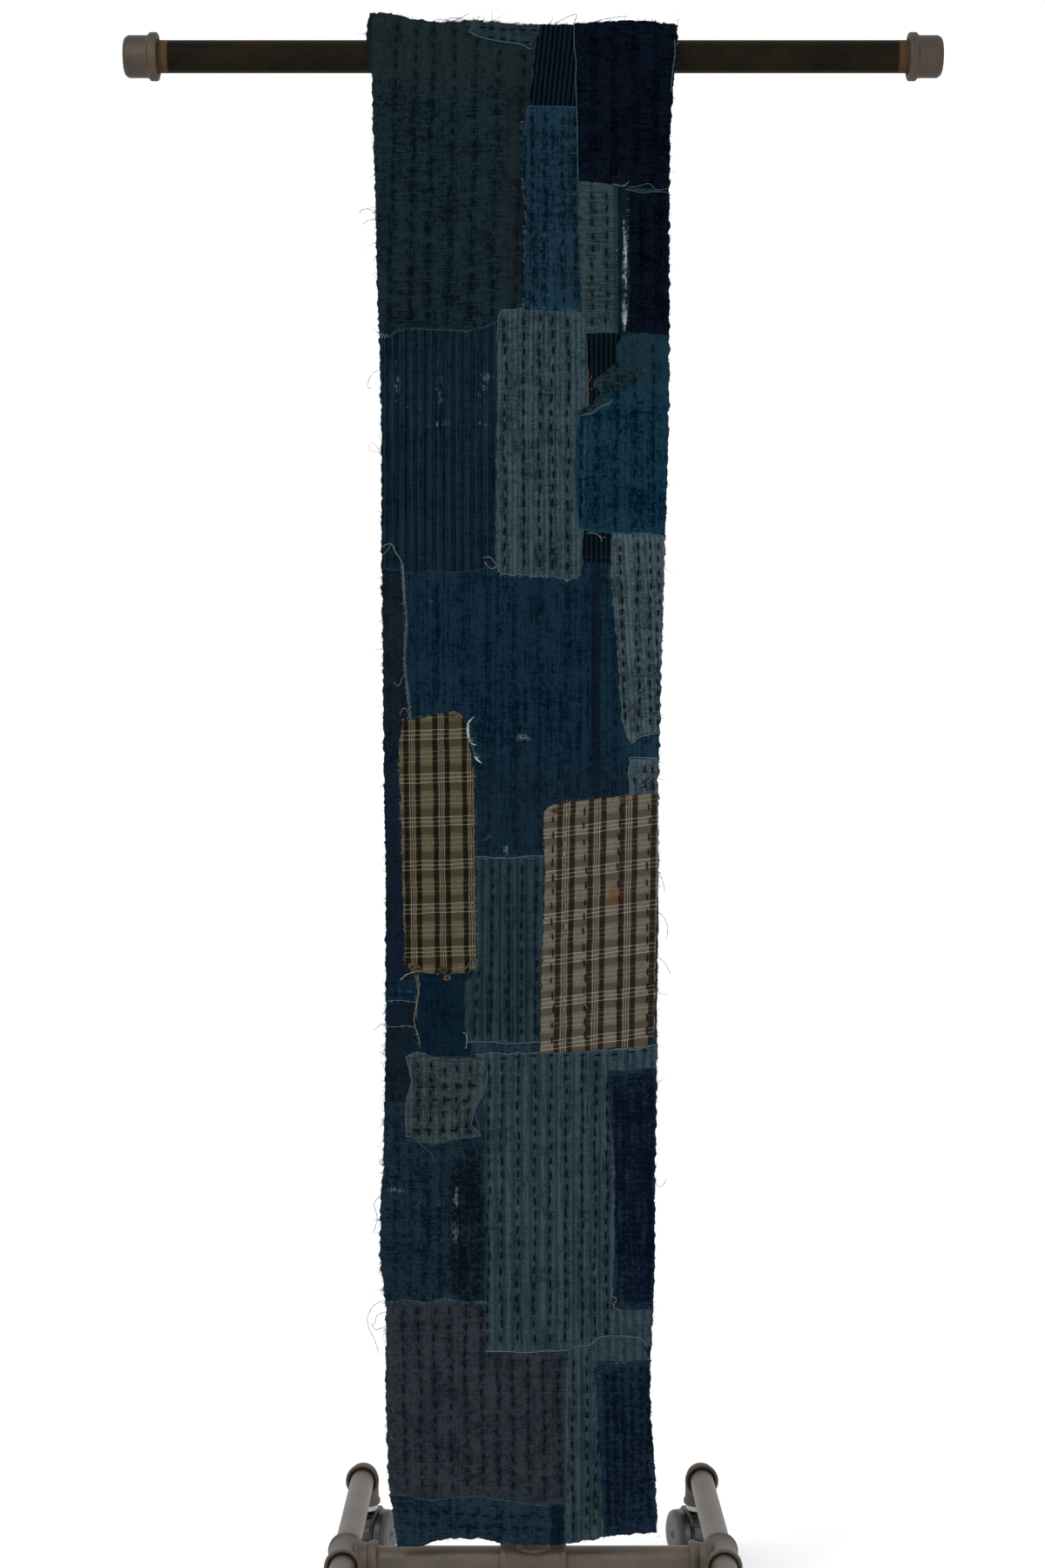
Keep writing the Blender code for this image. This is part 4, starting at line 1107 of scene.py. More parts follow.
def cloth_finishes():
    """One finish for each kind of cloth in the piece."""
    pin = (5.0, 0.0, 0.10, 0.16, (26, 38, 46), 0.70)
    return {
        "backing": cloth_finish("backing indigo", (13, 29, 40), (40, 60, 73), streak=0.6,
            mottle=0.6,
            bands=[("z", 1490, 190, 1, (30, 46, 52), 0.55), ("z", 860, 170, 1, (36, 46, 54), 0.5),
                   ("z", 330, 200, 1, (14, 26, 42), 0.7)]),
        "blue_green": cloth_finish(
            "blue green cotton", (7, 17, 24), (29, 45, 52), streak=0.35, slub=0.75, mottle=0.45,
            bands=[("z", 1668, 30, 40, (38, 46, 42), 0.40), ("x", -18, 9, 8, (30, 38, 36), 0.35),
                   # Painted shade: the dark band at x -170 stands for the left edge turning back
                   ("x", -170, 3, 3, (12, 20, 32), 0.5)]),
        "pale_blue_green": cloth_finish(
            "pale blue green cotton", (20, 36, 42), (44, 60, 64), slub=0.7, pale=(64, 98, 110)),
        "navy_pinstripe": cloth_finish(
            "navy pinstripe cotton", (1, 4, 9), (8, 14, 23), stripes=[pin], mottle=0.3),
        "near_black": cloth_finish(
            "near black indigo cotton", (1, 4, 12), (14, 22, 34), streak=0.3, slub=0.7, mottle=0.45,
            fleck=0.03, worn=(60, 72, 84)),
        "mid_blue": cloth_finish(
            "mid blue cotton", (5, 26, 38), (32, 58, 72), streak=0.8, slub=0.45, mottle=0.55,
            pale=(72, 100, 112), worn=(110, 128, 138)),
        "grey_teal": cloth_finish(
            "grey teal ribbed cotton", (24, 40, 46), (56, 74, 78), streak=0.3, slub=1.0, mottle=0.3,
            bands=[("x", 86, 3, 2, (16, 36, 48), 0.6), ("x", 93, 5.5, 1.5, (10, 22, 34), 0.92)],
            worn=(168, 178, 188)),
        "blue_stripe": cloth_finish(
            "dark blue striped cotton", (5, 18, 28), (24, 43, 55), streak=1.0, slub=0.6,
            mottle=0.45,
            stripes=[(3.9, 0.2, 0.06, 0.2, (38, 56, 68), 0.40),
                (9.6, 0.1, 0.16, 0.16, (4, 13, 22), 0.50)],
            pale=(52, 76, 92), worn=(120, 138, 156)),
        "grey_green": cloth_finish(
            "grey green cotton", (24, 41, 48), (67, 85, 91), streak=0.75, slub=0.40, mottle=0.30,
            stripes=[(5.4, 0.3, 0.12, 0.14, (24, 40, 50), 0.45)], pale=(96, 112, 112)),
        "teal_blue": cloth_finish(
            "teal blue cotton", (2, 25, 38), (26, 57, 74), streak=0.6, slub=0.5, mottle=0.55,
            bands=[("z", 1345, 30, 26, (30, 50, 58), 0.5)], pale=(56, 88, 106)),
        "streaky_indigo": cloth_finish(
            "streaky plain indigo", (4, 22, 35), (24, 46, 61), streak=0.85, slub=0.45, mottle=0.50,
            bands=[("x", 64, 3, 3, (10, 20, 32), 0.6), ("z", 860, 40, 45, (27, 42, 52), 0.30)],
            fleck=0.05, pale=(70, 80, 84), worn=(104, 122, 138)),
        "dark_left_strip": cloth_finish(
            "greyish navy cotton", (10, 18, 27), (26, 37, 46), streak=0.4, slub=0.6, mottle=0.5,
            bands=[("z", 760, 120, 60, (16, 33, 47), 0.5)], fleck=0.06, worn=(70, 84, 94)),
        "mid_indigo": cloth_finish(
            "mid indigo cotton", (7, 23, 37), (24, 44, 60), slub=0.9, worn=(70, 100, 130)),
        "dark_blue": cloth_finish(
            "plain dark blue cotton", (3, 18, 31), (17, 36, 50), streak=0.4, slub=0.4, mottle=0.5),
        "grey_blue": cloth_finish(
            "grey blue cotton", (26, 43, 50), (62, 79, 86), streak=0.9, slub=0.40, mottle=0.35,
            stripes=[(4.3, 0.1, 0.12, 0.15, (70, 86, 92), 0.20),
                (8.9, 0.6, 0.14, 0.12, (28, 46, 58), 0.55)],
            pale=(98, 116, 118)),
        "grey_blue_dark": cloth_finish(
            "darker grey blue cotton", (19, 34, 42), (47, 64, 71), streak=0.9, slub=0.40,
            mottle=0.35,
            stripes=[(4.4, 0.3, 0.12, 0.15, (56, 74, 78), 0.30),
                (9.1, 0.6, 0.14, 0.12, (18, 34, 46), 0.60)],
            pale=(92, 110, 114)),
        "pale_grey_green": cloth_finish(
            "pale grey green cotton", (36, 50, 58), (82, 98, 104), streak=0.75, slub=0.5,
            mottle=0.45,
            stripes=[(5.6, 0.3, 0.12, 0.14, (34, 50, 60), 0.45)], pale=(110, 124, 124)),
        "khaki_grey": cloth_finish(
            "khaki grey cotton", (28, 43, 50), (69, 82, 84), streak=0.4, slub=0.4, mottle=0.45,
            stripes=[(6.5, 0.1, 0.16, 0.14, (34, 44, 46), 0.4)], pale=(92, 108, 108)),
        "purple_navy": cloth_finish(
            "purple navy cotton", (8, 19, 35), (35, 51, 69), streak=0.3, slub=0.5, mottle=0.35),
        "worn_blue": cloth_finish(
            "worn indigo cotton", (9, 23, 33), (34, 49, 60), streak=0.45, slub=0.65, mottle=0.7,
            pale=(58, 80, 94), worn=(104, 122, 138)),
        "charcoal": cloth_finish(
            "charcoal blue cotton", (21, 30, 37), (53, 61, 67), streak=0.35, slub=0.45, mottle=0.35,
            fleck=0.05, worn=(86, 96, 102)),
        "bumpy_indigo": cloth_finish(
            "bumpy dark indigo cotton", (6, 20, 35), (35, 52, 68), streak=0.3, slub=0.45,
            mottle=0.3),
        "bottom_indigo": cloth_finish(
            "indigo hem cotton", (12, 28, 40), (38, 57, 70), streak=0.5, slub=0.7, mottle=0.5,
            pale=(68, 96, 110)),
        "torn_white": cloth_finish(
            "torn white cotton", (120, 130, 138), (205, 212, 216), mottle=0.6),
        "flap_reverse": cloth_finish(
            "grey green reverse", (9, 24, 30), (36, 54, 60), slub=0.8, mottle=0.8,
            pale=(66, 100, 118)),
        "plaid_left": plaid_finish(
            "brown plaid left", (53, 48, 38), (82, 76, 62), (40, 33, 26), (16, 13, 10),
            (126, 121, 98),
            29.9, 44.5, (-124.6, 950.4), 0.67, 0.028),
        "plaid_right": plaid_finish(
            "brown plaid right", (63, 57, 49), (95, 90, 79), (49, 43, 36), (27, 23, 17),
            (140, 134, 118),
            32.05, 43.4, (33.6, 852.0), -0.9, 0.144, rust=(83, 788)),
    }


THREAD_COLOURS = {
    # thread, dull, bright
    "dark": ((2, 7, 11), (11, 20, 27)),
    "black": ((2, 5, 12), (10, 15, 26)),
    "blue_black": ((2, 8, 16), (12, 23, 34)),
    "soft_blue": ((4, 14, 22), (17, 31, 42)),
    "charcoal": ((5, 9, 13), (16, 23, 29)),
    "purple": ((2, 7, 16), (12, 19, 32)),
    "brown_black": ((14, 13, 14), (34, 30, 28)),
    "brown": ((44, 38, 30), (92, 81, 62)),
    "cream": ((92, 86, 72), (150, 144, 130)),
    "pale": ((60, 76, 82), (116, 130, 134)),
    "edge_blue": ((10, 22, 32), (44, 62, 74)),
    "light_blue": ((34, 60, 74), (74, 104, 120)),
    "khaki": ((84, 76, 58), (128, 120, 96)),
    "orange": ((96, 58, 24), (150, 96, 44)),
}


# Torn slivers where the pale thickness shows, in millimetres: the outer points, then how wide
TEARS = [
    ([(-60, 970), (-66.4, 963), (-67, 955), (-66.4, 950), (-63.7, 942.5), (-57, 940)], 2.6),
    ([(-60, 929), (-57.5, 925.5), (-52.5, 921.5)], 1.8),
]

# Loose threads in millimetres: colour, radius, level, then the points they pass
LOOSE = [
    ("pale", 0.40, 1.6, [(-156, 1143), (-146, 1147), (-141, 1138), (-134, 1124), (-132, 1088)]),
    ("pale", 0.32, 1.6, [(-132, 1092), (-130, 1066), (-132, 1026), (-128, 990), (-125, 968)]),
    ("pale", 0.24, 1.9, [(-143, 1005), (-138, 1001), (-134, 1010), (-131, 1014)]),
    ("pale", 0.32, 1.9, [(-137, 972), (-133, 978), (-129, 976), (-127, 968)]),
    ("pale", 0.26, 2.2, [(-155, 1135), (-150, 1139), (-146, 1146), (-142, 1143)]),
    ("cream", 0.44, 2.0, [(-118, 706), (-117, 690), (-121, 668), (-122, 656), (-117, 640),
        (-116, 632)]),
    ("cream", 0.36, 2.0, [(-120, 704), (-118, 686), (-119, 674), (-120, 660)]),
    ("cream", 0.60, 2.6, [(-136, 700), (-130, 705), (-122, 708), (-114, 709)]),
    ("pale", 0.36, 1.6, [(-152, 678), (-140, 679), (-128, 678), (-120, 677)]),
    ("pale", 0.36, 1.6, [(-152, 652), (-140, 652), (-130, 653), (-121, 651)]),
    ("pale", 0.28, 1.7, [(-163, 648), (-158, 653), (-154, 654), (-148, 652)]),
    ("edge_blue", 0.32, 1.6, [(-148, 570), (-140, 571), (-131, 570)]),
    ("cream", 0.36, 3.2, [(-72, 646), (-69, 645), (-68, 637), (-69, 630)]),
    ("pale", 0.36, 3.3, [(-51, 1132), (-45, 1133), (-41, 1129), (-38, 1126)]),
    ("pale", 0.32, 3.3, [(-50, 1128), (-46, 1123), (-41, 1121), (-36, 1126)]),
    ("pale", 0.44, 2.8, [(82, 1515), (90, 1513), (94, 1514), (98, 1518)]),
    ("pale", 0.32, 2.9, [(98, 1510), (108, 1507), (116, 1507), (128, 1508), (140, 1507)]),
    ("light_blue", 0.28, 2.9, [(98, 1512), (110, 1514), (119, 1516), (126, 1510), (139, 1511)]),
    ("light_blue", 0.34, 2.8,
        [(41.6, 1681), (42, 1660), (43.6, 1640), (43.4, 1620), (44.4, 1597), (45, 1560),
            (46, 1518)]),
    ("light_blue", 0.40, 2.8, [(145, 1664), (145.5, 1650), (143, 1630), (141.5, 1610)]),
    ("light_blue", 0.40, 3.2, [(-66, 1671), (-56, 1665.5), (-33, 1660), (-13, 1657.5), (-4, 1652)]),
    ("light_blue", 0.32, 3.2, [(-62, 1684), (-60, 1677), (-66, 1672)]),
    ("orange", 0.36, 4.0, [(60.4, 1319), (57, 1312), (55, 1305), (57, 1297)]),
    ("pale", 0.34, 2.2, [(55.6, 1157), (61, 1157.5), (67, 1155), (70.5, 1149)]),
    ("pale", 0.26, 2.2, [(66, 1156), (70, 1153), (74, 1153)]),
    ("light_blue", 0.36, 3.2,
        [(-128.6, 535.5), (-114, 534), (-100.7, 531.8), (-80.2, 536.7), (-54, 540)]),
    ("light_blue", 0.30, 3.2, [(-118, 534), (-112, 529), (-104, 521), (-102, 514)]),
    ("light_blue", 0.32, 3.2,
        [(-52, 619), (-47, 606), (-48.6, 586), (-59.5, 569), (-56, 552), (-54, 540)]),
    ("edge_blue", 0.30, 3.2, [(-126.7, 619), (-106, 623), (-88, 617.5), (-70, 618), (-52, 619)]),
    ("pale", 0.28, 2.7, [(110, 996), (113, 1002), (116, 1006), (114, 1011)]),
    ("pale", 0.44, 2.7, [(99.7, 941), (107, 947.5), (118.5, 951), (129, 952.5)]),
    ("pale", 0.32, 2.5, [(98, 925), (101, 928), (112, 927.5), (129, 927)]),
    ("pale", 0.28, 2.6, [(100, 896), (112, 899), (120, 905), (124, 911)]),
    ("pale", 0.40, 2.5, [(-58, 826), (-50, 826), (-38, 824.5), (-20, 825), (0, 827), (14, 827)]),
    ("pale", 0.36, 2.5, [(-69, 636), (-50, 637), (-26, 635), (0, 636), (9, 637)]),
    ("pale", 0.36, 2.7, [(76, 628), (90, 629.5), (106, 629), (118, 632), (127, 634)]),
    ("pale", 0.44, 3.1, [(52, 690), (54, 682), (53, 676), (55, 671)]),
    ("cream", 0.36, 3.3, [(82, 384), (80, 378), (85, 373), (82, 366), (88, 362)]),
    ("pale", 0.40, 2.7, [(-48, 320), (-30, 320), (-8, 319), (14, 320.5), (35, 321)]),
    ("pale", 0.40, 3.0, [(36, 323), (50, 326), (58, 327), (66, 334), (80, 336), (100, 335),
        (114, 330), (116, 322)]),
    ("light_blue", 0.36, 2.9,
        [(-145, 172), (-131, 173), (-110, 167.5), (-85, 170), (-60, 172), (-33, 168), (-11, 165),
            (18, 161)]),
    ("pale", 0.32, 3.5, [(84, 309), (87, 308)]),
    ("pale", 0.32, 3.5, [(91, 309), (94, 308)]),
    ("pale", 0.32, 3.5, [(67, 296), (69, 293)]),
    ("pale", 0.32, 3.5, [(87, 297), (90, 296)]),
    ("pale", 0.28, 1.8, [(-145, 262), (-143, 256)]),
    ("pale", 0.28, 1.8, [(-146, 232), (-143, 228)]),
    ("khaki", 0.40, 3.1, [(-64, 890), (-66, 874), (-63, 862), (-60, 852)]),
    ("khaki", 0.40, 3.1, [(-61, 800), (-66, 786), (-62, 770), (-60, 760)]),
    ("khaki", 0.40, 3.1, [(-60, 730), (-66, 716), (-72, 709)]),
    ("edge_blue", 0.28, 2.9, [(97, 1688), (80, 1686), (60, 1681)]),
    ("edge_blue", 0.28, 2.9, [(20, 1678), (30, 1684), (44, 1690), (42, 1680)]),
    ("edge_blue", 0.28, 2.4, [(-110, 1680), (-96, 1685), (-82, 1683), (-66, 1690)]),
    ("edge_blue", 0.28, 2.4, [(-118, 1684), (-100, 1680), (-84, 1686), (-70, 1684)]),
    ("pale", 0.24, 1.5, [(-157, 1240), (-166, 1242), (-168, 1247), (-165, 1250), (-160, 1246),
        (-157, 1238)]),
    ("pale", 0.24, 1.5, [(-158, 1325), (-166, 1320), (-170, 1308), (-166, 1306)]),
    ("edge_blue", 0.28, 1.5, [(-162, 1484), (-168, 1490), (-176, 1489), (-178, 1486)]),
    ("edge_blue", 0.24, 1.5, [(-161, 1480), (-170, 1478), (-176, 1474)]),
    ("edge_blue", 0.28, 1.5, [(144, 1645), (148, 1648), (149, 1640), (145, 1636)]),
    ("edge_blue", 0.24, 1.5, [(128, 812), (133, 800), (135, 790)]),
    ("edge_blue", 0.24, 1.5, [(127, 770), (134, 764), (138, 752), (136, 742)]),
    ("edge_blue", 0.24, 1.5, [(125, 725), (134, 718), (141, 706)]),
    ("edge_blue", 0.24, 1.5, [(124, 494), (129, 488), (134, 491), (136, 497)]),
    ("edge_blue", 0.28, 1.5, [(-158, 478), (-163, 470), (-160, 455), (-164, 440)]),
    ("edge_blue", 0.28, 1.5, [(-152, 372), (-164, 366), (-170, 350), (-162, 330), (-158, 318)]),
    ("edge_blue", 0.28, 1.5, [(-152, 360), (-160, 356), (-163, 346)]),
    ("edge_blue", 0.32, 1.5, [(-151, 345), (-161, 342), (-166, 348)]),
]

# Small knots and curls: colour, level, middle, curl radius, thread radius, turns
KNOTS = [
    ("brown", 3.2, -124, 714, 3.2, 1.0, 1.6), ("brown", 3.2, -118, 712, 2.6, 0.9, 1.4),
    ("brown", 3.2, -92, 710, 3.4, 1.0, 1.7), ("brown", 3.0, -88, 702, 3.0, 0.9, 1.6),
    ("brown", 3.2, -82, 971, 3.0, 1.1, 1.5), ("brown", 3.2, -76, 969, 2.6, 1.0, 1.4),
    ("brown", 3.2, 22, 873, 2.4, 0.8, 1.4), ("brown", 3.2, 92, 884, 2.6, 0.9, 1.6),
    ("cream", 3.4, 86, 883, 2.0, 0.6, 1.2), ("pale", 1.8, -10, 949, 3.0, 0.35, 1.6),
    ("pale", 1.8, -5, 947, 2.2, 0.35, 1.3), ("pale", 1.8, -14, 946, 2.2, 0.3, 1.2),
    ("pale", 2.6, 118, 950, 1.0, 0.3, 1.2), ("pale", 1.9, -64, 945, 2.4, 0.5, 1.0),
]


LOOSE_STEPS, KNOT_STEPS, TEAR_STEPS = 22, 26, 24


def smooth_path(points, steps):
    """A line through points, rounded: Catmull-Rom arcs from each point to the next."""
    points = np.array(points, float)
    held = np.concatenate([[2 * points[0] - points[1]], points, [2 * points[-1] - points[-2]]])
    at = np.linspace(0, len(points) - 1, steps)
    i = np.clip(at.astype(int), 0, len(points) - 2)
    t = (at - i)[:, None]
    a, b, c, d = held[i], held[i + 1], held[i + 2], held[i + 3]
    square, cube = 2 * a - 5 * b + 4 * c - d, 3 * b - a - 3 * c + d
    return 0.5 * (2 * b + (c - a) * t + square * t**2 + cube * t**3)


def by_colour(title, rows, path_of, finishes, sides=4):
    """One mesh to a colour, from rows that begin with it; path_of gives a row's path and radii."""
    made = []
    for colour in sorted({row[0] for row in rows}):
        drawn = [path_of(number, *row[1:]) for number, row in enumerate(rows) if row[0] == colour]
        paths, radii = (np.array(part) for part in zip(*drawn))
        made.append(threads(f"{title}_{colour}", paths, radii, finishes[colour], sides))
    return made


def loose_thread(number, radius, level, points):
    """A long loose thread, which lies on its layer and lifts off in places."""
    flat = smooth_path(points, LOOSE_STEPS)
    at = np.linspace(0, np.hypot(*(flat[-1] - flat[0])), LOOSE_STEPS)
    flat[:, 0] += wander(at, 1200 + number, 0.22, 6)
    y = depth(flat[:, 0], flat[:, 1], level)
    y -= (0.25 + 0.3 * np.abs(wander(at, 1300 + number, 1, 12))) * MM
    thick = np.full(LOOSE_STEPS, radius * MM) * (1 + wander(at, 1400 + number, 0.2, 5))
    return in_metres(flat[:, 0], y, flat[:, 1]), thick


def torn_slivers():
    """Crescents laid flat, widest at the middle and pointed at both ends."""
    slivers = []
    for i, (points, width) in enumerate(TEARS):
        line = smooth_path(points, TEAR_STEPS)
        step = np.gradient(line, axis=0)
        side = np.stack([-step[:, 1], step[:, 0]], -1) / np.linalg.norm(step, axis=1)[:, None]
        half = width * np.sin(np.linspace(0.08, pi - 0.08, len(line)))[:, None] / 2
        x, z = np.moveaxis(np.stack([line - side * half, line, line + side * half]), -1, 0)
        none = x * 0
        tear = build(
            f"tear_{i}",
            in_metres(x, depth(x, z, TEAR_LEVEL), z),
            grid_faces(*x.shape),
            CLOTHS["torn_white"],
            attributes={k: none for k in ("edge", "hollow", "wear", "row_shade")} | {"pale": none + 9},
            uv=np.stack([x * MM, z * MM], -1),
        )
        thicken(tear, TEAR_THICKNESS)
        slivers.append(tear)
    return slivers


def knot(number, level, x, z, curl, radius, turns):
    """A curl of rolled cloth or thread: a coil whose radius shrinks as it turns."""
    share = np.linspace(0, 1, KNOT_STEPS)
    angle = 2 * pi * (turns * share + 0.17 * number)
    reach = curl * (1 - 0.45 * share)
    px, pz = x + reach * np.cos(angle) * 1.3, z + reach * np.sin(angle) * 0.8
    y = depth(px, pz, level) - (radius * 0.7 + 0.7 * share) * MM
    return in_metres(px, y, pz), radius * MM * (1 + 0.25 * np.sin(9 * share + number))


WHIP_LINE = [(-134, 1124), (-131.6, 1088), (-129.8, 1066), (-131.6, 1026), (-128, 990), (-125, 966)]
WHIPS = 70


def whip_seam(finishes):
    """The pale overcast seam on the left: short slanted stitches across the joint."""
    line = smooth_path(WHIP_LINE, 60)
    at = along(line, np.linspace(0, 1, WHIPS) + CHANCE.uniform(-0.004, 0.004, WHIPS))
    slant = np.stack([np.full(WHIPS, 1.7), CHANCE.uniform(0.4, 2.2, WHIPS)], -1)
    share = np.array([-1, -0.4, 0.4, 1])
    flat = at[:, None] + share[None, :, None] * slant[:, None]
    return strands("whip_seam", flat, 0.42, finishes["pale"], 1.5, lift=0.2, seed=5)


# Where edges fray. A group is a name, a thread, radius, level, lift and seed, and its rows. A row
# is the line, in millimetres or one of the cloth's edges by name, then how many strands, their
# length, the way outward, how far their ways spread, a seed, and what share stand in clumps.
FRAYS = [
    ("edge_fray", "edge_blue", 0.22, 1.4, 1.2, 1, [
        ("left", 700, 1.7, (-1, 0.1), 0.75, 1),
        ("right", 620, 1.5, (1, 0.0), 0.75, 2),
        ("worn_left", 260, 3.4, (-1, -0.3), 0.55, 3, 0.7),
        ("top", 240, 2.0, (0.3, 1), 0.8, 4),
        ("bottom", 150, 1.6, (0.1, -1), 0.7, 5),
        ("left", 60, 6.0, (-1, -0.3), 0.7, 6, 0.6),
        ("right", 46, 5.2, (1, 0.2), 0.8, 7, 0.6),
        ("top_middle", 90, 6.5, (0.9, 0.45), 0.35, 8, 0.6),
    ]),
    ("pale_fray", "pale", 0.20, 2.9, 0.6, 2, [
        ("left", 70, 3.2, (-1, 0.2), 0.8, 9, 0.7),
        ("right", 50, 2.4, (1, 0.2), 0.8, 10, 0.6),
        ([(-158, 1362), (-149, 1360)], 26, 2.4, (-0.6, -0.8), 0.8, 11),
        ([(-38, 1124), (-33, 1115), (24, 1112), (36, 1109), (46, 1113), (50, 1122)], 150, 2.2,
            (0, -1), 0.6, 12),
        ([(-36, 1380), (-11, 1388), (38, 1387), (50, 1380)], 60, 1.2, (0, 1), 0.6, 13),
        ([(-37, 1370), (-37, 1130)], 60, 1.2, (-1, 0), 0.5, 14),
        ([(45, 1517), (98, 1514)], 40, 1.4, (0, -1), 0.6, 15),
        ([(-11, 1590), (-12, 1526), (-8, 1490), (-10, 1388)], 110, 1.6, (-1, 0), 0.5, 16),
        ([(97, 1512), (98, 1370)], 60, 1.6, (-1, 0), 0.5, 17),
        ([(-58, 826), (14, 827)], 60, 1.2, (0, 1), 0.6, 18),
        ([(-134, 1124), (-131.6, 1026), (-125, 966)], 110, 1.8, (-1, 0.3), 0.9, 19),
        ([(-120, 706), (-117, 690), (-122, 658), (-116, 630)], 90, 2.0, (-0.8, 0.2), 0.8, 20),
        ([(-152, 678), (-120, 678)], 30, 1.5, (0, -1), 0.6, 21),
        ([(-152, 652), (-121, 652)], 30, 1.5, (0, -1), 0.6, 22),
        ([(-66, 964), (-65, 946), (-60, 930)], 60, 3.0, (1, -0.2), 0.6, 23),
        ([(-16, 950), (-4, 946)], 34, 2.4, (0.6, 0.4), 1.2, 24),
        ([(-48, 320), (35, 321)], 50, 1.2, (0, -1), 0.6, 25),
    ]),
    ("blue_fray", "light_blue", 0.22, 3.0, 0.5, 3, [
        ([(-150, 370), (-130, 372), (-110, 369), (-90, 374), (-70, 370), (-48, 371)], 240, 3.0,
            (0, -1), 0.5, 30),
        ([(-131, 538), (-100, 531), (-53, 540)], 60, 1.6, (0, -1), 0.6, 31),
        ([(-145, 172), (-109, 167), (-60, 172), (18, 161)], 80, 1.3, (0, 1), 0.6, 32),
        ([(46, 1277), (61, 1309), (90, 1301), (116, 1325)], 50, 1.8, (0.2, -1), 0.7, 33),
        ([(-155, 1360), (-132, 1367), (-60, 1363), (-38, 1373)], 90, 1.3, (0, -1), 0.6, 34),
        ([(42, 1258), (41, 1222), (45, 1165)], 50, 1.2, (-1, 0), 0.5, 35),
        ([(46, 1162), (78, 1157), (134, 1155)], 60, 1.2, (0, -1), 0.6, 36),
        ([(62, 304), (70, 311), (116, 311)], 40, 1.2, (0, 1), 0.6, 37),
    ]),
    ("plaid_fray", "khaki", 0.20, 3.0, 0.4, 4, [
        ([(-138, 936), (-135, 847), (-131, 712)], 150, 1.6, (-1, 0), 0.4, 40),
        ([(-62, 918), (-60, 811), (-58, 712)], 190, 2.2, (1, 0), 0.5, 41),
        ([(-130, 709), (-90, 706), (-60, 709)], 60, 1.6, (0, -1), 0.7, 42),
        ([(-134, 966), (-91, 974), (-74, 973)], 50, 1.4, (0, 1), 0.7, 43),
        ([(9.5, 869), (34, 883), (69, 887), (128, 891)], 60, 1.3, (0, 1), 0.7, 44),
        ([(10, 850), (12, 811), (9, 713), (7, 626)], 110, 1.1, (-1, 0), 0.4, 45),
        ([(7, 624), (69, 628), (120, 634)], 60, 1.2, (0, -1), 0.7, 46),
        ([(128, 860), (128, 811), (124, 704), (123, 640)], 150, 1.8, (1, 0), 0.5, 47),
    ]),
]


def cloth_edges():
    """The cloth's raw edges as lines of points, by name."""
    z = np.linspace(120, 1690, 900)
    left, right = (np.stack([side_edge(z, column), z], -1) for column in (1, 2))
    x = np.linspace(-165, 146, 240)
    top = np.stack([x, end_edge(x, 1)], -1)
    x = np.linspace(-140, 126, 200)
    bottom = np.stack([x, end_edge(x, 2)], -1)
    worn_left = left[(z > 330) & (z < 700)]
    return {
        "left": left, "right": right, "top": top, "bottom": bottom,
        "worn_left": worn_left, "top_middle": top[50:150],
    }


def frays(finishes):
    """Raw edges: fine strands all along the cloth's edges and on the torn patch edges."""
    edges = cloth_edges()
    made = []
    for name, thread, radius, level, lift, seed, rows in FRAYS:
        flat = [fray(edges[line] if isinstance(line, str) else line, *rest) for line, *rest in rows]
        flat = np.concatenate(flat)
        made.append(strands(name, flat, radius, finishes[thread], level, lift, seed))
    return made


# ---------------------------------------------------------------- the stand
RUST = (86, 62, 42)


def metal_finish(name, dark, light, roughness, metallic, grain, coarse, rust=0.0):
    """Iron or steel: patches of tone, fine grain, and brown bloom in the low places."""
    finish = Finish(name)
    place = finish.add("TexCoord", {}, output=3)
    cloudy = finish.noise(place, 28, 4, 0.6)
    fine = finish.noise(place, grain, 3, 0.6)
    pits = finish.noise(place, coarse, 2, 0.5)
    tone = 0.5 + (cloudy - 0.5) * 1.4 + (fine - 0.5) * 0.9
    colour = finish.mix(tone, shade(*dark), shade(*light))
    bloom = (cloudy + (pits - 0.5) * 0.6).rise(0.52, 0.72)
    colour = finish.mix(bloom * rust, colour, shade(*RUST))
    finish.set(Base_Color=colour, Metallic=metallic, Roughness=roughness + (fine - 0.5) * 0.25)
    finish.bump(fine * 0.5 + pits, 0.5, 0.0006)
    return finish.material


# Where the bar's bare thread starts, and its pitch, in metres
BARE_FROM = (0.3755, 0.3785)
THREAD_PITCH = 0.00181


def bar_finish():
    """Black lacquered pipe with bare brown threads showing beside each cap."""
    finish = Finish("black bar")
    place = finish.add("TexCoord", {}, output=3)
    x, _, _ = finish.spread(place)
    fine = finish.noise(finish.stretched(place, 0.15, 1), 700, 3)
    cloudy = finish.noise(place, 22, 3)
    tone = 0.5 + (cloudy - 0.5) * 1.2 + (fine - 0.5)
    colour = finish.mix(tone, shade(14, 11, 8), shade(36, 29, 21))
    bare = abs(x).rise(*BARE_FROM)
    colour = finish.mix(bare * 0.85, colour, shade(84, 66, 44))
    groove = (x * (2 * pi / THREAD_PITCH)).wave()
    rough = 0.34 + 0.16 * bare + (fine - 0.5) * 0.15
    finish.set(Base_Color=colour, Roughness=rough, Specular_IOR_Level=0.02)
    finish.bump(fine * 0.3 + groove * bare * 1.5, 0.5, 0.0005)
    return finish.material


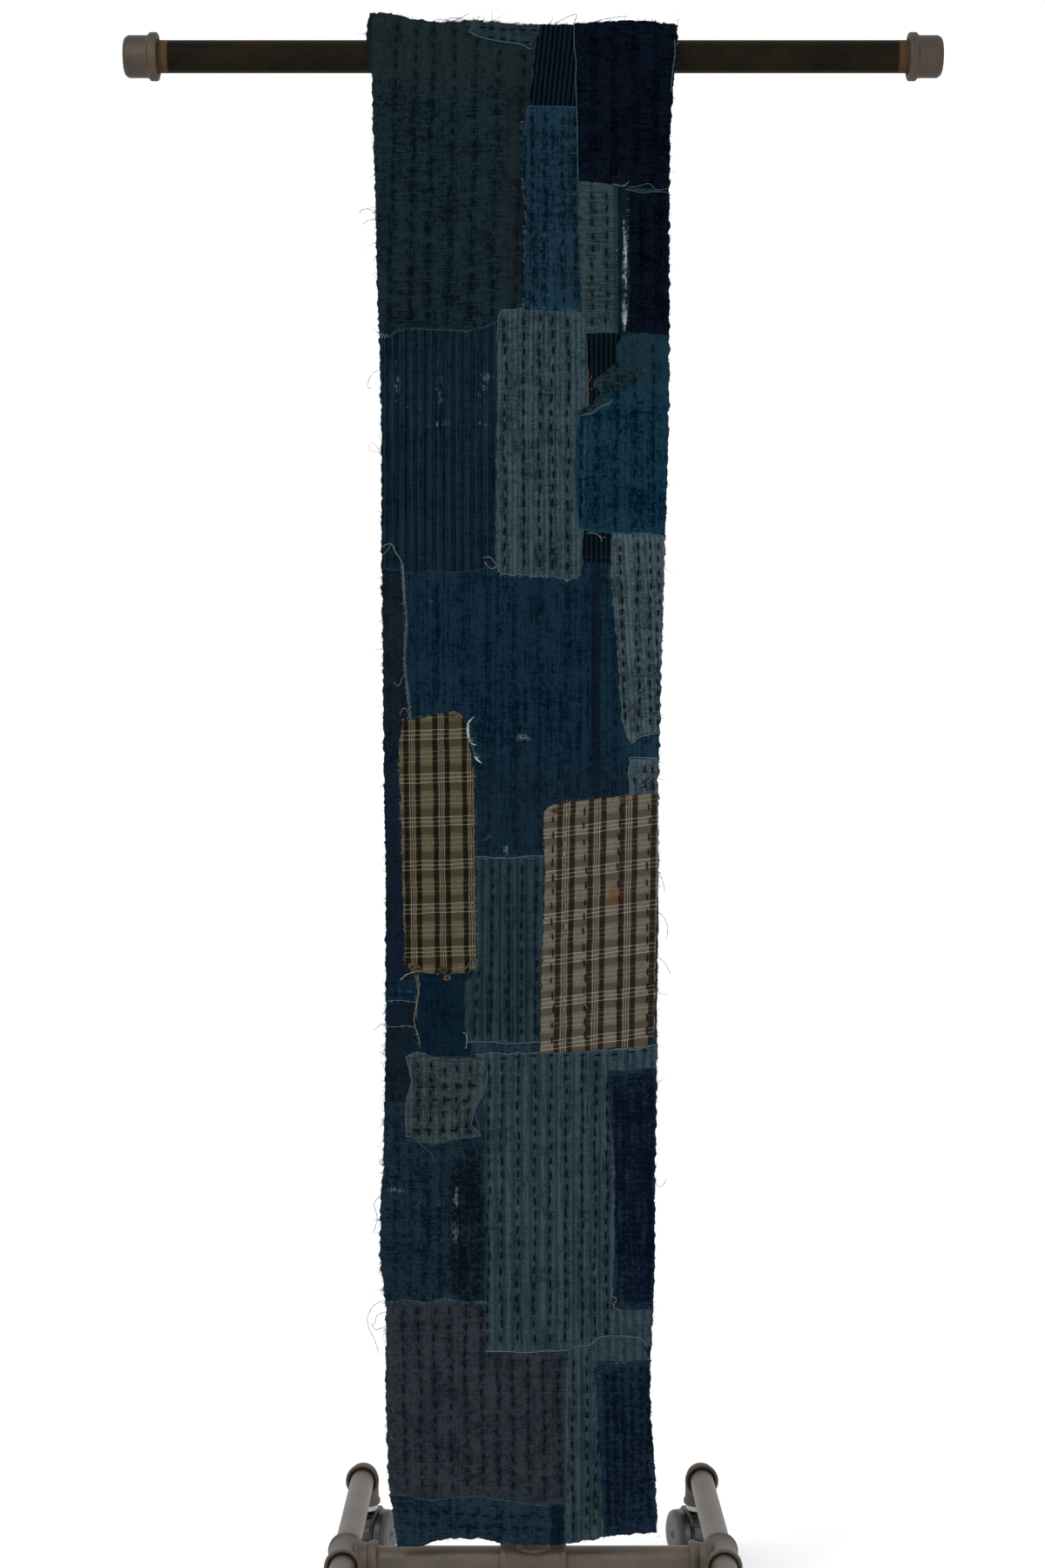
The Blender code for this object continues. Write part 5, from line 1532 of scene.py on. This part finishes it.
def plastic_finish(name, dark, light, roughness):
    """Moulded plastic, faintly scuffed."""
    finish = Finish(name)
    place = finish.add("TexCoord", {}, output=3)
    scuff = finish.noise(place, 180, 3, 0.6)
    dust = finish.noise(place, 40, 3)
    colour = finish.mix(0.5 + (scuff - 0.5) + (dust - 0.5), shade(*dark), shade(*light))
    finish.set(Base_Color=colour, Roughness=roughness + (scuff - 0.5) * 0.3)
    finish.bump(scuff, 0.25, 0.0004)
    return finish.material


POLE = 2e-5


def skin(name, path, radii, ways, finish, body="stand", slot="cast_fitting", sides=36):
    """One round skin about a path of centres, closed at both ends."""
    points, faces = tube(path[None], np.array([radii]), sides, np.array([ways]))
    return build(name, points, faces.tolist(), finish, body=body)


def profile(rows, centre, axis):
    """The path, radii and ways of (radius, distance along the axis) rows about an axis."""
    axis = np.array(axis, float)
    path = np.array(centre) + np.array([distance for _, distance in rows])[:, None] * axis
    return path, [max(radius, POLE) for radius, _ in rows], np.broadcast_to(axis, path.shape)


def turned(name, rows, centre, axis, finish, node, slot, sides=40, body="stand"):
    """A profile of (radius, distance along the axis) rows turned about the axis."""
    obj = skin(name, *profile(rows, centre, axis), finish, body, slot, sides)
    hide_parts(node)


def rounded(rows, radius=0.0005, steps=3):
    """A profile with its corners rounded: each corner becomes a short arc of points."""
    rows = np.array(rows, float)
    out = [rows[0]]
    for before, corner, after in zip(rows, rows[1:], rows[2:]):
        back, on = before - corner, after - corner
        back_size, on_size = np.hypot(*back), np.hypot(*on)
        if min(back_size, on_size) < 1e-7:
            continue
        cut = min(radius, back_size * 0.45, on_size * 0.45)
        first, last = corner + back / back_size * cut, corner + on / on_size * cut
        for t in np.linspace(0, 1, steps + 1):
            out.append((1 - t) ** 2 * first + 2 * t * (1 - t) * corner + t**2 * last)
    out.append(rows[-1])
    return [tuple(row) for row in out]


# Fittings: body radius, band radius, band width, reach from the centre, pipe radius
SMALL = (0.0172, 0.0191, 0.0068, 0.0340, PIPE)
LARGE = (0.0205, 0.0236, 0.0080, 0.0380, BAR)
CAP = (0.0216, 0.0247, 0.0090, 0.0352, BAR)
SCREWED_IN = 0.016
ELBOW_BEND = 0.0195
# The branch of a tee: its foot, and its flare's height, start and fade
BRANCH_FOOT, FLARE, FLARE_FROM, FLARE_FADE = 0.004, 0.004, 0.014, 0.0025


def mouth(size):
    """A fitting's mouth from the pipe's skin outwards: recess, beaded band, then the body."""
    body, band, width, reach, pipe = size
    return [
        (pipe - 0.0006, reach - 0.006),
        (pipe + 0.0010, reach - 0.0028),
        (pipe + 0.0022, reach - 0.0006),
        (pipe + 0.0032, reach),
        (band - 0.0012, reach),
        (band, reach - 0.0014),
        (band, reach - width + 0.0012),
        (band - 0.0010, reach - width),
        (body + 0.0006, reach - width - 0.0010),
        (body, reach - width - 0.0030),
    ]


def tee_piece(name, centre, run, branch, run_size, branch_size, finish):
    """Two turned skins in one mesh: the run with a mouth at each end, and the branch, whose
    foot flares out where it meets the run."""
    half = rounded(mouth(run_size))
    rows = [(0, half[0][1])] + half + [(r, -d) for r, d in reversed(half)] + [(0, -half[0][1])]
    arm = rounded(mouth(branch_size))
    body = branch_size[0] * 0.95
    flare = [
        (body + FLARE * np.exp(-(d - FLARE_FROM) / FLARE_FADE), d)
        for d in np.linspace(0.024, 0.013, 7)
    ]
    arm = [(0, arm[0][1])] + arm + [(body, 0.0262)] + flare + [(0, BRANCH_FOOT)]
    parts = []
    for outline, axis in ((rows, run), (arm, branch)):
        path, radii, ways = profile(outline, centre, axis)
        parts.append(tube(path[None], np.array([radii]), 36, ways[None]))
    points = np.concatenate([parts[0][0], parts[1][0]])
    faces = np.concatenate([parts[0][1], parts[1][1] + len(parts[0][0])])
    obj = build(f"{name}_cast", points, faces.tolist(), finish)
    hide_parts(name)


def elbow_piece(name, centre, first, second, finish):
    """Mouth rows along one axis, a quarter ring of bend, then the mouth rows again outwards."""
    first, second = np.array(first, float), np.array(second, float)
    rows = rounded(mouth(SMALL))
    hub = (first + second) * ELBOW_BEND
    path = [first * rows[0][1]] + [first * d for _, d in rows]
    ways = [-first] * (len(rows) + 1)
    radii = [POLE] + [r for r, _ in rows]
    for angle in np.linspace(0, pi / 2, 15):
        inward = second * cos(angle) + first * sin(angle)
        path.append(hub - inward * ELBOW_BEND)
        ways.append(-first * cos(angle) + second * sin(angle))
        radii.append(SMALL[0])
    path += [second * d for _, d in reversed(rows)] + [second * rows[0][1]]
    ways += [second] * (len(rows) + 1)
    radii += [r for r, _ in reversed(rows)] + [POLE]
    obj = skin(f"{name}_cast", np.array(path) + np.array(centre), radii, ways, finish)
    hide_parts(name)


def pipe_piece(node, slot, radius, start, end, finish):
    """A round pipe with lightly rounded ends."""
    start, end = np.array(start, float), np.array(end, float)
    length = np.linalg.norm(end - start)
    middle = [(radius, d) for d in np.linspace(0.002, length - 0.002, 9)]
    rows = [(0, 0), (radius, 0)] + middle + [(radius, length), (0, length)]
    turned(f"{node}_pipe", rounded(rows), start, (end - start) / length, finish, node, slot)


def stand_pieces():
    """Pipes, cast fittings and caps, each in its CAD piece's place."""
    iron = metal_finish(
        "cast iron fitting", (58, 48, 38), (100, 88, 76), 0.60, 0.30, 900, 420, rust=0.30
    )
    cap_iron = metal_finish(
        "brown cast cap", (28, 20, 12), (68, 53, 36), 0.62, 0.20, 900, 420, rust=0.30
    )
    pipe = metal_finish(
        "iron pipe", (66, 57, 49), (104, 93, 84), 0.48, 0.40, 700, 260, rust=0.15
    )
    black = bar_finish()

    def iron_pipe(node, start, end):
        pipe_piece(node, "iron_pipe", PIPE, start, end, pipe)

    tee_piece("top_tee", (0, 0, BAR_Z), (1, 0, 0), (0, 0, -1), LARGE, SMALL, iron)
    tee_piece("base_tee", (0, 0, BASE_Z), (1, 0, 0), (0, 0, 1), SMALL, SMALL, iron)
    small, large = SMALL[3] - SCREWED_IN, LARGE[3] - SCREWED_IN
    iron_pipe("post", (0, 0, BASE_Z + small), (0, 0, BAR_Z - small))
    mouth_depth = mouth(CAP)[0][1]
    cap_back = [(CAP[0], 0.0046), (CAP[0] - 0.0022, 0.0012), (CAP[0] - 0.0050, 0), (0, 0)]
    cap_rows = rounded([(0, mouth_depth)] + mouth(CAP) + cap_back, 0.0012, 4)
    for side, word in ((-1, "left"), (1, "right")):
        start, end = (side * large, 0, BAR_Z), (side * BAR_END, 0, BAR_Z)
        pipe_piece(f"bar_{word}", "black_bar", BAR, start, end, black)
        cap = f"end_cap_{word}"
        place, axis = (side * CAP_END, 0, BAR_Z), (-side, 0, 0)
        turned(f"{cap}_cast", cap_rows, place, axis, cap_iron, cap, "cast_fitting", sides=48)
        x = side * SIDE_X
        iron_pipe(f"cross_pipe_{word}", (side * small, 0, BASE_Z), (x - side * small, 0, BASE_Z))
        place, branch = (x, 0, BASE_Z), (-side, 0, 0)
        tee_piece(f"side_tee_{word}", place, (0, 1, 0), branch, SMALL, SMALL, iron)
        for way, end in ((-1, "front"), (1, "back")):
            near, far = way * small, way * (CORNER_Y - small)
            iron_pipe(f"leg_{end}_{word}", (x, near, BASE_Z), (x, far, BASE_Z))
            corner = (x, way * CORNER_Y, BASE_Z)
            elbow_piece(f"elbow_{end}_{word}", corner, (0, -way, 0), (0, 0, -1), iron)


# Profiles as (radius, distance along the axis)
BUSH_ROWS = [
    (0.0059, 0.0780), (0.0130, 0.0780), (0.0130, 0.0657), (0.0160, 0.0657), (0.0160, 0.0598),
    (0.0059, 0.0598), (0.0059, 0.0780),
]
WHEEL_ROWS = [
    (0.0034, 0.0077), (0.0050, 0.0079), (0.0065, 0.0072), (0.0150, 0.0074), (0.0215, 0.0066),
    (0.0252, 0.0052), (0.0262, 0.0040), (0.0270, 0.0044), (0.0279, 0.0026), (0.0280, 0.0010),
    (0.0280, -0.0030), (0.0276, -0.0055), (0.0034, -0.0055), (0.0034, 0.0077),
]
TRAIL, AXLE_Z, WHEEL_OUT, BACK_TURN = 0.018, 0.028, 0.020, radians(20)
# Ridges over a hood: how many, the first's angle and the step in degrees, then their reach from
# the axle, half length and radius
RIDGES, RIDGE_FROM, RIDGE_STEP = 9, -28, 27
RIDGE_REACH, RIDGE_HALF, RIDGE_RADIUS = 0.0300, 0.0118, 0.0011


def hood_ridges(label, hub, forward, sideways, finish):
    """Thin ridges across a hood, fanned about its axle."""
    ridges = []
    for step in range(RIDGES):
        angle = radians(RIDGE_FROM + step * RIDGE_STEP)
        spoke = forward * cos(angle) + np.array([0, 0, 1]) * sin(angle)
        middle = hub + spoke * RIDGE_REACH
        ridges.append(middle + np.linspace(-RIDGE_HALF, RIDGE_HALF, 4)[:, None] * sideways)
    paths = np.array(ridges)
    points, faces = tube(paths, np.full(paths.shape[:2], RIDGE_RADIUS), 6)
    build(
        f"hood_{label}_ridges", points, faces.tolist(), finish,
        body=f"caster_{label}",
    )


def casters():
    """Each caster's bush, ridged hood, axle and two dished wheels, on their own bodies."""
    zinc = metal_finish("zinc", (150, 150, 146), (205, 205, 200), 0.32, 0.85, 600, 300)
    black = plastic_finish("black plastic", (10, 10, 12), (30, 30, 33), 0.36)
    grey = plastic_finish("grey wheel", (20, 20, 23), (44, 44, 48), 0.38)
    bush_rows, wheel_rows = rounded(BUSH_ROWS), rounded(WHEEL_ROWS, 0.0006)
    for side, word in ((-1, "left"), (1, "right")):
        for way, end in ((-1, "front"), (1, "back")):
            label = f"{end}_{word}"
            turn = side * BACK_TURN if way > 0 else pi - side * BACK_TURN
            corner = np.array([side * SIDE_X, way * CORNER_Y, 0])
            sideways = np.array([cos(turn), sin(turn), 0])
            trail = np.array([-sin(turn), cos(turn), 0]) * TRAIL
            hub = corner + trail + [0, 0, AXLE_Z]
            bush = f"bush_{label}"
            turned(f"{bush}_ring", bush_rows, corner, (0, 0, 1), zinc, bush, "zinc")
            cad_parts[f"hood_{label}"].data.materials[0] = black
            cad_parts[f"axle_{label}"].data.materials[0] = zinc
            hood_ridges(label, hub, -trail / TRAIL, sideways, black)
            for letter, out in (("a", -1), ("b", 1)):
                wheel = f"wheel_{label}_{letter}"
                place, axis = hub + out * WHEEL_OUT * sideways, out * sideways
                turned(
                    f"{wheel}_dished", wheel_rows, place, axis, grey, wheel, "wheel_grey",
                    sides=48, body=wheel,
                )


def floor():
    """A plain pale floor."""
    finish = Finish("pale floor")
    place = finish.add("TexCoord", {}, output=3)
    cloudy = finish.noise(place, 0.8, 2)
    colour = finish.mix(cloudy, (0.93, 0.93, 0.93), (0.96, 0.96, 0.96))
    finish.set(Base_Color=colour, Roughness=0.9, Specular_IOR_Level=0.1)
    h = FLOOR_HALF
    mesh = bpy.data.meshes.new("floor")
    mesh.from_pydata([(-h, -h, 0), (h, -h, 0), (h, h, 0), (-h, h, 0)], [], [(0, 1, 2, 3)])
    mesh.materials.append(finish.material)
    obj = bpy.data.objects.new("floor", mesh)
    bpy.context.scene.collection.objects.link(obj)


# ---------------------------------------------------------------- assembly
camera()
studio()
floor()
stand_pieces()
casters()
CLOTHS = cloth_finishes()
THREADS = {name: thread_finish(f"{name} thread", *tones) for name, tones in THREAD_COLOURS.items()}
sheet = backing()
pieces = [lay(patch, number) for number, patch in enumerate(PATCHES)]
for number, (thread, radius, *_) in enumerate(STITCHES):
    title = f"stitches_{number:02d}_{thread}"
    pieces.append(running_stitches(title, DASHES[number], radius, THREADS[thread]))
pieces += by_colour("loose_threads", LOOSE, loose_thread, THREADS)
pieces += by_colour("knots", KNOTS, knot, THREADS, sides=6)
pieces += torn_slivers()
pieces.append(whip_seam(THREADS))
pieces += frays(THREADS)
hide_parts("cloth")
